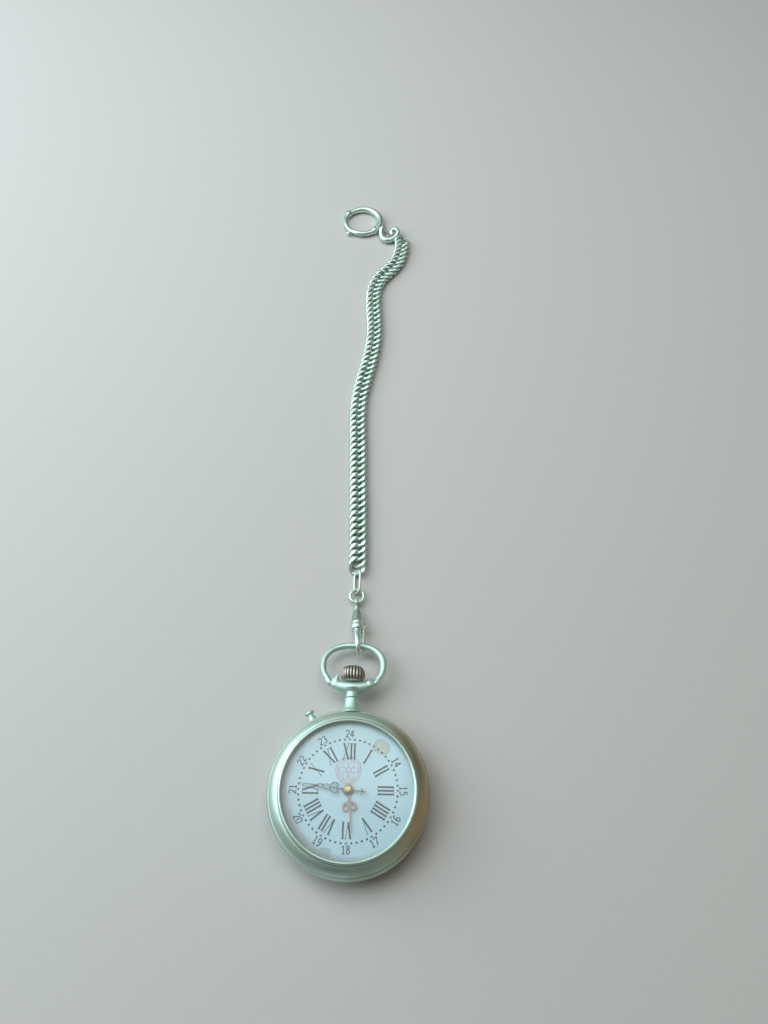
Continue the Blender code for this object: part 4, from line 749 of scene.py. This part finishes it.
digitLines = {
    # the pen's strokes for each digit, in shares of its height
    "0": [
        [
            (0.3, 1), (0.5, 0.8), (0.52, 0.5), (0.5, 0.2), (0.3, 0),
            (0.1, 0.2), (0.08, 0.5), (0.1, 0.8), (0.3, 1),
        ]
    ],
    "1": [[(0.14, 0.8), (0.3, 0.98)], [(0.3, 1), (0.3, 0)], [(0.1, 0), (0.5, 0)]],
    "2": [
        [(0.08, 0.76), (0.16, 0.94), (0.3, 1), (0.46, 0.92), (0.5, 0.74), (0.38, 0.48), (0.06, 0.03)],
        [(0.06, 0.03), (0.54, 0.03)],
    ],
    "3": [
        [(0.1, 0.86), (0.28, 1), (0.46, 0.86), (0.42, 0.64), (0.26, 0.54)],
        [(0.26, 0.54), (0.5, 0.4), (0.48, 0.14), (0.28, 0), (0.08, 0.12)],
    ],
    "4": [[(0.4, 1), (0.04, 0.3)], [(0.04, 0.3), (0.58, 0.3)], [(0.4, 1), (0.4, 0)]],
    "5": [
        [(0.14, 1), (0.5, 1)],
        [(0.15, 1), (0.12, 0.58)],
        [(0.12, 0.58), (0.3, 0.64), (0.5, 0.46), (0.46, 0.14), (0.28, 0), (0.08, 0.1)],
    ],
    "6": [
        [
            (0.48, 0.92), (0.3, 1), (0.13, 0.75), (0.08, 0.36), (0.18, 0.05),
            (0.34, 0), (0.5, 0.14), (0.5, 0.4), (0.32, 0.56), (0.12, 0.42),
        ]
    ],
    "7": [[(0.08, 0.84), (0.1, 1), (0.54, 1)], [(0.54, 1), (0.34, 0.5), (0.24, 0)]],
    "8": [
        [
            (0.3, 0.54), (0.46, 0.72), (0.42, 0.94), (0.3, 1), (0.17, 0.94), (0.14, 0.72), (0.3, 0.54),
            (0.5, 0.34), (0.46, 0.08), (0.3, 0), (0.13, 0.08), (0.1, 0.34), (0.3, 0.54),
        ]
    ],
    "9": [
        [
            (0.12, 0.08), (0.3, 0), (0.47, 0.25), (0.52, 0.64), (0.42, 0.95),
            (0.26, 1), (0.1, 0.86), (0.1, 0.6), (0.28, 0.44), (0.48, 0.58),
        ]
    ],
}


def smallNumber(text, angle, upright):
    # Two thin digits centred on a spoke, with their feet inwards, or outwards if not upright.
    height = dialShape["smallHeight"]
    flip = 1 if upright else -1
    skins = []
    for place, digit in enumerate(text):
        for line in digitLines[digit]:
            points = smoothLine(line, 4 * len(line)) if len(line) > 2 else np.linspace(*line, 3)
            points = points * height
            points[:, 0] += (place - 1) * dialShape["smallPitch"]
            points[:, 1] -= height / 2
            points = spun(points * flip, 0, (0, dialShape["smallRadius"]))
            skins.append(ribbon(spun(points, angle), dialShape["smallInk"], inkFoot, inkTop))
    return skins


smallSkins = []
for number in range(14, 25):
    angle = -(number - 12) * turn / 12
    smallSkins += smallNumber(str(number), angle, number not in dialShape["invertedHours"])
makePiece("afternoonNumerals", smallSkins, finishes["numeralInk"], "case")

ornament = {
    "centre": (-0.1, 6.25),
    "rings": ((4.2, 0.2), (3.4, 0.13), (0.8, 0.3)),  # radius and line width
    "petals": 6,
    "petalFoot": 1.1,
    "petalReach": 2.1,
    "petalPower": 0.8,
    "petalLine": 0.16,
    "beads": 24,
    "beadCircle": 3.8,
    "beadRadius": 0.16,
}
ornamentAngle = np.arange(120) * turn / 120
paleTop = inkTop - dialShape["paleInk"]


def printedRound(radius, width):
    # A closed line round the ornament's centre, at a radius that may change with the angle.
    line = np.stack([radius * np.cos(ornamentAngle), radius * np.sin(ornamentAngle)], -1) + ornament["centre"]
    return ribbon(line, width, inkFoot, paleTop, True)


petalWave = np.abs(np.cos(ornament["petals"] / 2 * ornamentAngle)) ** ornament["petalPower"]
ornamentSkins = [printedRound(radius, width) for radius, width in ornament["rings"]]
petalRadius = ornament["petalFoot"] + ornament["petalReach"] * petalWave
ornamentSkins.append(printedRound(petalRadius, ornament["petalLine"]))
for k in range(ornament["beads"]):
    angle = k * turn / ornament["beads"]
    beadX = ornament["centre"][0] + ornament["beadCircle"] * math.cos(angle)
    beadY = ornament["centre"][1] + ornament["beadCircle"] * math.sin(angle)
    ornamentSkins.append(disc((beadX, beadY), [ornament["beadRadius"]] * 8, inkFoot, paleTop))
makePiece("dialRosette", ornamentSkins, finishes["ornamentInk"], "case")


def loopLine(centre, halfLength, halfWidth, count=36):
    # An oval along the hand: centre + (half length * cos, half width * sin).
    t = np.arange(count) * turn / count
    return np.stack([centre[0] + halfLength * np.cos(t), centre[1] + halfWidth * np.sin(t)], -1)


def mirrored(strip):
    # A strip and its twin across the hand's middle line.
    points, widths = strip
    return [strip, ([(x, -y) for x, y in points], widths)]


def makeHand(name, node, finish, degrees, boss, bore, strips, loops):
    # A pierced boss, open strips with widths along them, and closed loops, all as thick as the node.
    low, high = (corner.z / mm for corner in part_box(node))
    middle = (low + high) / 2
    bossProfile = [(bore, low), (boss, low), (boss, middle + 0.05), (boss - 0.12, high), (bore, high)]
    skins = [turned(bossProfile, 48)]
    angle = math.radians(degrees)
    for points, widths in strips:
        line = smoothLine(points, 8 * len(points)) if len(points) > 2 else np.linspace(*points, 8)
        wide = np.interp(np.linspace(0, 1, len(line)), np.linspace(0, 1, len(widths)), widths)
        skins.append(ribbon(spun(line, angle), wide, low, high))
    for line, width in loops:
        skins.append(ribbon(spun(line, angle), width, low, high, True))
    makePiece(name, skins, finishes[finish], node, [node], 30)


hourShape = {
    "degrees": -83,
    "boss": 1.85,
    "bore": 0.97,
    "strips": [
        ([(1.5, 0), (4.3, 0)], (0.8, 0.45)),
        ([(4.3, 0), (13.4, 0)], (0.6, 0.7, 0.36, 0.3, 0.14)),
        *mirrored(([(3.6, 0.2), (4.4, 1.9), (5.9, 2.2), (6.7, 1.1)], (0.3, 0.34, 0.3))),
    ],
    "loops": [(loopLine((5.4, y), 0.95, 0.75), 0.3) for y in (1.15, -1.15)],
}
makeHand("hourHand", "hour_hand", "gildedHands", **hourShape)
minuteCurl = [(3.9, 0.35), (3.3, 0.75), (3.6, 1.4), (4.6, 1.5), (5.6, 0.9), (6.0, 0.0)]
minuteShape = {
    "degrees": 173.4,
    "boss": 1.35,
    "bore": 0.65,
    "strips": [
        ([(1.3, 0), (6.1, 0)], (0.7, 0.3, 0.28)),
        *mirrored((minuteCurl, (0.24, 0.36, 0.4, 0.3))),
        ([(9.9, 0), (16.0, 0)], (0.55, 0.3, 0.12)),
        ([(-1.3, 0), (-5.6, 0)], (0.5, 0.3, 0.45)),
        ([(-4.5, -1.0), (-4.5, 1.0)], (0.55, 0.3, 0.55)),
    ],
    "loops": [(loopLine((7.1, 0), 1.15, 0.75), 0.3), (loopLine((9.0, 0), 0.95, 0.6), 0.28)],
}
makeHand("minuteHand", "minute_hand", "darkHands", **minuteShape)
capShape = {
    "foot": [(0.55, 11.98), (1.05, 12.0)],
    "dome": [(1.05, 12.17), (1.0, 12.27), (0.7, 12.32), (0.52, 12.34)],
    "bore": [(0.52, 12.0)],
}
capProfile = np.vstack([capShape["foot"], smoothLine(capShape["dome"], 10), capShape["bore"]])
makePiece("handCap", [turned(capProfile, 48)], finishes["brassBoss"], "minute_hand")
print("dial and hands made")

claspShape = {
    "start": np.array([0.9, 57.2, 3.6]),
    "end": np.array([0.35, 66.2, 2.1]),
    "length": 8.6,
    "rows": 90,
    "steps": 48,
    "coneAt": [0, 0.25, 1.0, 2.1, 2.6, 3.3, 8.2, 8.6],
    "coneRadius": [1.75, 2.25, 2.5, 2.35, 1.95, 2.05, 1.3, 1.1],
    "turns": 10,
    "ribsFrom": 3.3,
    "ribsOver": 5.0,
    "ribHeight": 0.15,
    "ribTroughDarkening": 0.7,
    # points of x, y, z and radius
    "hook": [
        (0.9, 58.6, 3.5, 1.4), (0.9, 56.2, 4.4, 1.35), (1.05, 53.6, 5.7, 1.15),
        (1.25, 51.1, 6.4, 1.0), (1.5, 49.2, 5.9, 0.8), (1.8, 48.0, 4.7, 0.62),
        (2.4, 47.8, 3.2, 0.58), (3.0, 48.9, 2.1, 0.55), (3.3, 50.4, 1.75, 0.5),
    ],
    "gate": [(3.0, 58.0, 3.0, 0.6), (3.25, 55.4, 2.6, 0.62), (3.4, 53.2, 2.2, 0.58), (3.45, 51.4, 1.9, 0.5)],
    "gateTab": [(2.8, 58.0, 3.1, 0.7), (3.6, 58.5, 3.2, 0.6), (4.6, 58.7, 3.2, 0.35)],
}
claspAxis = unit(claspShape["end"] - claspShape["start"])
coneHeight = np.linspace(0, 1, claspShape["rows"]) * claspShape["length"]
coneRadius = np.interp(coneHeight, claspShape["coneAt"], claspShape["coneRadius"])
side = unit(np.cross(claspAxis, (0, 0, 1)))
other = np.cross(claspAxis, side)
spinAngle = np.arange(claspShape["steps"]) * turn / claspShape["steps"]
# The cone's ribs are a sine that winds round it as it climbs, faded out at both ends.
aboveRibs = coneHeight[:, None] - claspShape["ribsFrom"]
ribClimb = turn * claspShape["turns"] * aboveRibs / claspShape["ribsOver"]
ribWave = np.sin(ribClimb + spinAngle[None])
ribFade = np.clip(np.minimum((coneHeight - 3.2) / 0.3, (8.4 - coneHeight) / 0.3), 0, 1)[:, None]
ribbedRadius = coneRadius[:, None] + claspShape["ribHeight"] * ribWave * ribFade
spokes = np.cos(spinAngle)[:, None] * side + np.sin(spinAngle)[:, None] * other
coneMiddle = claspShape["start"] + coneHeight[:, None, None] * claspAxis
coneEnds = [claspShape["start"], claspShape["start"] + claspAxis * claspShape["length"]]
coneSkin = shell(coneMiddle + ribbedRadius[..., None] * spokes[None], False, *coneEnds)
# The troughs between the ribs are darker.
coneMarks = (np.clip(-ribWave, 0, 1) * ribFade * claspShape["ribTroughDarkening"]).ravel()
chainNickel = finishes["chainNickel"]
claspSkins = [coneSkin, rod(claspShape["hook"], 64, 16, up=(1, 0, 0))]
makePiece("claspHook", claspSkins, chainNickel, "swivel_hook", ["swivel_hook"], 60, coneMarks)
gateSkins = [rod(claspShape["gate"], 28, 14, up=(1, 0, 0)), rod(claspShape["gateTab"], 12, 12)]
makePiece("claspGate", gateSkins, chainNickel, "swivel_gate", ["swivel_gate"], 60)


def ringLine(centre, longWay, wideWay, straightShare=0.0, count=56):
    # An oval: centre + long way * cos + wide way * sin, where a share of the cosine may be a steeper one
    # that holds the sides straight.
    t = np.arange(count) * turn / count
    along = straightShare * np.tanh(3 * np.cos(t)) / math.tanh(3) + (1 - straightShare) * np.cos(t)
    longPart = along[:, None] * np.asarray(longWay)
    return np.asarray(centre) + longPart + np.sin(t)[:, None] * np.asarray(wideWay)


linkShape = {
    "eyeCentre": np.array([0.15, 68.8, 1.9]),
    "eyeRadius": 1.35,
    "eyeWire": 0.5,
    "stemRadii": (1.2, 0.6),
    "jumpCentre": (0.2, 71.35, 1.9),
    "jumpRadius": 2.55,
    "jumpWire": 0.55,
    "endCentre": (0.1, 77.2, 1.9),
    "endHalf": 4.55,
    "endAcross": (1.1, 0, 1.3),
    "endStraight": 0.75,
    "endWire": 0.46,
    "sides": 14,
}
linkSides = linkShape["sides"]
eyeLine = ringLine(linkShape["eyeCentre"], (0, linkShape["eyeRadius"], 0), (0, 0, linkShape["eyeRadius"]))
eyeSkin = swept(eyeLine, linkShape["eyeWire"], linkSides, True, (1, 0, 0))
stemLine = np.linspace(coneEnds[1] - claspAxis * 1.2, linkShape["eyeCentre"] - claspAxis * 1.3, 10)
stemSkin = swept(stemLine, np.linspace(*linkShape["stemRadii"], 10), linkSides)
makePiece("swivelEye", [eyeSkin, stemSkin], chainNickel, "swivel_eye", ["swivel_eye"], 60)
jumpLine = ringLine(linkShape["jumpCentre"], (0, linkShape["jumpRadius"], 0), (linkShape["jumpRadius"], 0, 0))
jumpSkin = swept(jumpLine, linkShape["jumpWire"], linkSides, True)
makePiece("jumpRing", [jumpSkin], chainNickel, "swivel_ring", ["swivel_ring"], 60)
endAcross = linkShape["endAcross"]
endLine = ringLine(linkShape["endCentre"], (0, linkShape["endHalf"], 0), endAcross, linkShape["endStraight"])
endSkin = swept(endLine, linkShape["endWire"], linkSides, True, np.cross(endAcross, (0, 1, 0)))
makePiece("endLink", [endSkin], chainNickel, "end_link", ["end_link"], 60)
print("clasp made")

chainShape = {
    "pitch": 2.9,
    "halfLength": 3.4,
    "halfWidth": 2.95,
    "roundness": 0.85,
    "wire": 0.66,
    "wireSides": 9,
    "wireSteps": 34,
    "twist": math.radians(-46),
    "middleZ": 1.5,
    "flatAt": 1.40,
    # the most painted shade on a link's low side
    "mostPaintedShade": 0.6,
    "route": (
        (0.1, 80.6), (0.1, 86.5), (-0.1, 95.1), (-0.4, 104.0), (-0.7, 113.0), (-1.1, 122.3),
        (-1.4, 131.9), (-1.8, 141.7), (-2.2, 151.8), (-2.1, 159.6), (-1.6, 165.3), (-0.2, 173.6),
        (1.6, 182.1), (3.0, 190.7), (3.6, 199.6), (3.3, 208.6), (2.7, 217.8), (3.0, 225.4),
        (5.4, 232.2), (9.8, 238.0), (13.3, 243.4), (15.1, 249.7), (15.6, 255.0), (14.9, 260.4),
    ),
    "hinges": (
        (-0.1, 82.4), (-0.6, 108.5), (-1.5, 134.6), (-2.1, 160.7), (1.6, 182.0),
        (3.6, 202.2), (2.7, 219.5), (5.2, 231.2), (12.4, 240.6), (15.6, 258.2),
    ),
}
chainLine = smoothLine(chainShape["route"], 900)
chainSteps = np.linalg.norm(np.diff(chainLine, axis=0), axis=1)
chainReach = np.concatenate([[0], np.cumsum(chainSteps)])
linkCount = int((chainReach[-1] - chainShape["halfLength"]) / chainShape["pitch"])
linkPlace = chainShape["halfLength"] + np.arange(linkCount) * chainShape["pitch"]
linkCentre = np.stack([np.interp(linkPlace, chainReach, chainLine[:, k]) for k in (0, 1)], -1)
linkAhead = np.stack([np.interp(linkPlace, chainReach, np.gradient(chainLine[:, k])) for k in (0, 1)], -1)
linkAhead = unit(linkAhead)


def curbLink():
    # One curb link about its centre: an oval turned about its long way by an angle that grows along it,
    # so that its ends lie crossed, with its upper and lower faces ground flat.
    t = np.arange(chainShape["wireSteps"]) * turn / chainShape["wireSteps"]
    x = chainShape["halfLength"] * powered(np.cos(t), chainShape["roundness"])
    y = chainShape["halfWidth"] * powered(np.sin(t), chainShape["roundness"])
    lean = chainShape["twist"] * x / chainShape["halfLength"]
    path = np.stack([x, y * np.cos(lean), y * np.sin(lean)], -1)
    normal = np.stack([np.zeros(len(t)), -np.sin(lean), np.cos(lean)], -1)
    ahead = unit(np.roll(path, -1, 0) - np.roll(path, 1, 0))
    sideways = unit(np.cross(ahead, normal))
    lift = np.cross(sideways, ahead)
    angle = np.arange(chainShape["wireSides"]) * turn / chainShape["wireSides"]
    section = sideways[:, None] * np.cos(angle)[None, :, None] + lift[:, None] * np.sin(angle)[None, :, None]
    grid = path[:, None] + chainShape["wire"] * section
    grid[..., 2] = np.clip(grid[..., 2], -chainShape["flatAt"], chainShape["flatAt"])
    return grid


# Each link belongs to the run between two hinges that is nearest to its centre. Painted shade lies low on a
# link: the lower a point, the darker, where the links lie under one another.
linkGrid = curbLink()
linkPaintedShade = np.clip((-0.1 - linkGrid[..., 2]) / 1.2, 0, chainShape["mostPaintedShade"]).ravel()
hinges = np.array(chainShape["hinges"])
runLine = unit(hinges[1:] - hinges[:-1])
fromStart = linkCentre[:, None] - hinges[None, :-1]
runLength = np.linalg.norm(hinges[1:] - hinges[:-1], axis=1)
along = np.clip((fromStart * runLine[None]).sum(-1), 0, runLength[None])
runDistance = np.linalg.norm(fromStart - along[..., None] * runLine[None], axis=-1)
linkRun = runDistance.argmin(1)
for run in range(len(runLine)):
    skins = []
    for k in np.flatnonzero(linkRun == run):
        ahead = np.array([*linkAhead[k], 0])
        right = np.array([ahead[1], -ahead[0], 0])
        flat = linkGrid[..., :1] * ahead + linkGrid[..., 1:2] * right
        placed = flat + linkGrid[..., 2:] * np.array([0, 0, 1])
        skins.append(shell(placed + np.array([*linkCentre[k], chainShape["middleZ"]]), True))
    node = f"chain_run_{run + 1:02d}"
    # painted shade on each link's low side, read by the finish as a darker colour
    marks = np.tile(linkPaintedShade, len(skins))
    makePiece(f"curbLinks{run + 1:02d}", skins, chainNickel, node, [node], 60, marks)
print("chain made:", linkCount, "links")

tailShape = {
    # points of x, y, z and radius: two hooked eyes and the bridge between them
    "line": [
        (7.2, 264.6, 1.5, 0.9), (6.8, 265.4, 2.4, 1.0), (5.7, 264.6, 3.0, 1.1), (5.2, 262.4, 2.2, 1.15),
        (5.8, 259.6, 1.7, 1.3), (7.5, 258.0, 1.7, 1.38), (9.6, 257.9, 1.7, 1.38), (11.6, 259.1, 1.9, 1.3),
        (13.0, 260.9, 2.4, 1.2), (13.4, 262.8, 2.7, 1.15), (12.4, 264.5, 2.5, 1.1), (10.8, 264.4, 2.0, 1.05),
        (10.1, 263.0, 1.7, 1.0), (10.8, 261.8, 1.5, 0.9),
    ],
    "rows": 110,
    "sides": 16,
}
tailSkin = rod(tailShape["line"], tailShape["rows"], tailShape["sides"])
makePiece("tailLink", [tailSkin], chainNickel, "tail_link", ["tail_link"], 60)

ringShape = {
    "centre": np.array([-3.8, 270.3]),
    "radius": 8.4,
    "z": 1.5,
    "sides": 22,
    "mainArc": (-44, 141),
    "mainAt": [-44, 10, 90, 141],
    "mainRadius": [1.62, 1.62, 1.45, 1.15],
    "lowerArc": (-124, -50),
    "lowerAt": [-124, -118, -60, -50],
    "lowerRadius": [1.05, 1.2, 1.3, 1.3],
    # degrees, width, radius and way outward
    "collars": ((-47, 2.0, 1.85, 0), (-36, 0.8, 1.65, 0), (147, 2.6, 1.7, 0.55)),
    "eyeDegrees": -33,
    "eyeOut": 2.9,
    "eyeZ": 1.8,
    "eyeHalf": (1.4, 1.3),
    "eyeWire": 0.45,
}


def ringArc(fromDegrees, toDegrees, count, outward=0.0):
    # Part of the ring's circle: centre + (radius + outward) * (cos, sin).
    angle = np.radians(np.linspace(fromDegrees, toDegrees, count))
    spoke = np.stack([np.cos(angle), np.sin(angle)], -1)
    flat = ringShape["centre"] + (ringShape["radius"] + outward) * spoke
    return np.column_stack([flat, np.full(count, ringShape["z"])])


def ringTube(arc, at, radii, count):
    # A tube along an arc, its radius read off between a few angles.
    return swept(ringArc(*arc, count), np.interp(np.linspace(*arc, count), at, radii), ringShape["sides"])


def collar(degrees, width, radius, outward, count=14):
    # A short bead on the ring: its radius follows a half sine from end to end.
    half = math.degrees(width / ringShape["radius"]) / 2
    line = ringArc(degrees - half, degrees + half, count, outward)
    return swept(line, radius * (0.86 + 0.14 * np.sin(np.linspace(0, math.pi, count))), 20)


eyeAngle = math.radians(ringShape["eyeDegrees"])
eyeOut = np.array([math.cos(eyeAngle), math.sin(eyeAngle), 0])
eyeReach = ringShape["radius"] + ringShape["eyeOut"]
eyeMiddle = np.array([*ringShape["centre"], ringShape["eyeZ"]]) + eyeOut * eyeReach
eyeLine = ringLine(eyeMiddle, eyeOut * ringShape["eyeHalf"][0], (0, 0, ringShape["eyeHalf"][1]))
ringSkins = [
    ringTube(ringShape["mainArc"], ringShape["mainAt"], ringShape["mainRadius"], 90),
    ringTube(ringShape["lowerArc"], ringShape["lowerAt"], ringShape["lowerRadius"], 40),
    *(collar(*each) for each in ringShape["collars"]),
    swept(eyeLine, ringShape["eyeWire"], 12, True, np.cross(eyeOut, (0, 0, 1))),
]
# The underside is worn flat where the ring lies: no point is lower than the level of the back.
ringSkins = [(np.maximum(points, (-1, -1, 0)), quads, fans) for points, quads, fans in ringSkins]
makePiece("boltRing", ringSkins, chainNickel, "bolt_ring", ["bolt_ring"], 60)

boltShape = {
    "arc": (-212, -74),
    "outward": 0.35,
    "wire": 0.95,
    "knobDegrees": -129.5,
    "knob": [(0.5, 0.4), (0.5, 1.5), (0.85, 1.9), (1.0, 2.4), (0.75, 3.0), (0.35, 3.25)],
    "knobFoot": 0.4,
    "knobTop": 3.3,
}
knobDegrees = boltShape["knobDegrees"]
knobAngle = math.radians(knobDegrees)
knobOut = np.array([math.cos(knobAngle), math.sin(knobAngle), 0])
knobLine = smoothLine(boltShape["knob"], 20)
knobProfile = np.vstack([[(0, boltShape["knobFoot"])], knobLine, [(0, boltShape["knobTop"])]])
knobAt = ringArc(knobDegrees, knobDegrees, 1)[0]
boltLine = ringArc(*boltShape["arc"], 70, boltShape["outward"])
boltSkins = [swept(boltLine, boltShape["wire"], 16), turned(knobProfile, 24, knobAt, knobOut)]
makePiece("ringBolt", boltSkins, chainNickel, "ring_bolt", ["ring_bolt"], 60)
print("bolt ring made")

stageLook = {
    "floorSize": 12.0,
    "floorColour": (0.62, 0.60, 0.57),
    "lights": (
        # name, place, aim, size, power, colour
        ("windowLight", (-0.55, 0.25, 0.45), (0, 0.05, 0), 0.75, 6.0, (0.82, 0.95, 1.0)),
        ("topLight", (0.0, 0.45, 0.85), (0, 0.12, 0), 0.70, 3.4, (0.92, 0.98, 1.0)),
        ("warmCard", (0.60, -0.15, 0.25), (0, 0.0, 0), 0.60, 0.5, (1.0, 0.62, 0.30)),
    ),
    "world": ((0.62, 0.68, 0.70), 0.13),
}
half = stageLook["floorSize"] / 2
floorMesh = bpy.data.meshes.new("floor")
floorCorners = [(-half, -half, 0), (half, -half, 0), (half, half, 0), (-half, half, 0)]
floorMesh.from_pydata(floorCorners, [], [(0, 1, 2, 3)])
floor = bpy.data.objects.new("floor", floorMesh)
bpy.context.collection.objects.link(floor)
floorFinish, floorTree, floorShader = newFinish("floorPaper", Roughness=0.85)
floorPlace = addNode(floorTree, "ShaderNodeTexCoord").outputs["Object"]
floorGrain = noise(floorTree, floorPlace, 300, 4.0)
floorColour = stageLook["floorColour"]
floorMix = mixed(floorTree, floorGrain, floorColour, tuple(c * 0.96 for c in floorColour))
floorTree.links.new(floorMix, floorShader.inputs["Base Color"])
floorMesh.materials.append(floorFinish)

for name, place, aim, size, power, colour in stageLook["lights"]:
    lamp = bpy.data.lights.new(name, "AREA")
    lamp.size = size
    lamp.energy = power
    lamp.color = colour
    holder = bpy.data.objects.new(name, lamp)
    holder.location = place
    holder.rotation_mode = "QUATERNION"
    holder.rotation_quaternion = (Vector(aim) - Vector(place)).to_track_quat("-Z", "Y")
    bpy.context.collection.objects.link(holder)
world = bpy.data.worlds.new("studio")
world.use_nodes = True
worldColour, worldStrength = stageLook["world"]
world.node_tree.nodes["Background"].inputs[0].default_value = (*worldColour, 1)
world.node_tree.nodes["Background"].inputs[1].default_value = worldStrength
bpy.context.scene.world = world
bpy.context.scene.view_settings.view_transform = "Standard"

cameraLook = {"place": (0.0097, -0.0423, 0.2829), "down": 61.93, "roll": 1.27, "lens": 28.09}
camera = bpy.data.cameras.new("camera")
camera.lens = cameraLook["lens"]
camera.sensor_width = 36
camera.clip_start = 0.01
cameraHolder = bpy.data.objects.new("camera", camera)
down, roll = math.radians(cameraLook["down"]), math.radians(cameraLook["roll"])
forward = Vector((0, math.cos(down), -math.sin(down)))
upward = Vector((0, math.sin(down), math.cos(down)))
sideways = Vector((1, 0, 0))
axisX = sideways * math.cos(roll) + upward * math.sin(roll)
axisY = upward * math.cos(roll) - sideways * math.sin(roll)
turnMatrix = Matrix((axisX, axisY, -forward)).transposed().to_4x4()
cameraHolder.matrix_world = Matrix.Translation(cameraLook["place"]) @ turnMatrix
bpy.context.collection.objects.link(cameraHolder)
bpy.context.scene.camera = cameraHolder

bpy.context.view_layer.update()
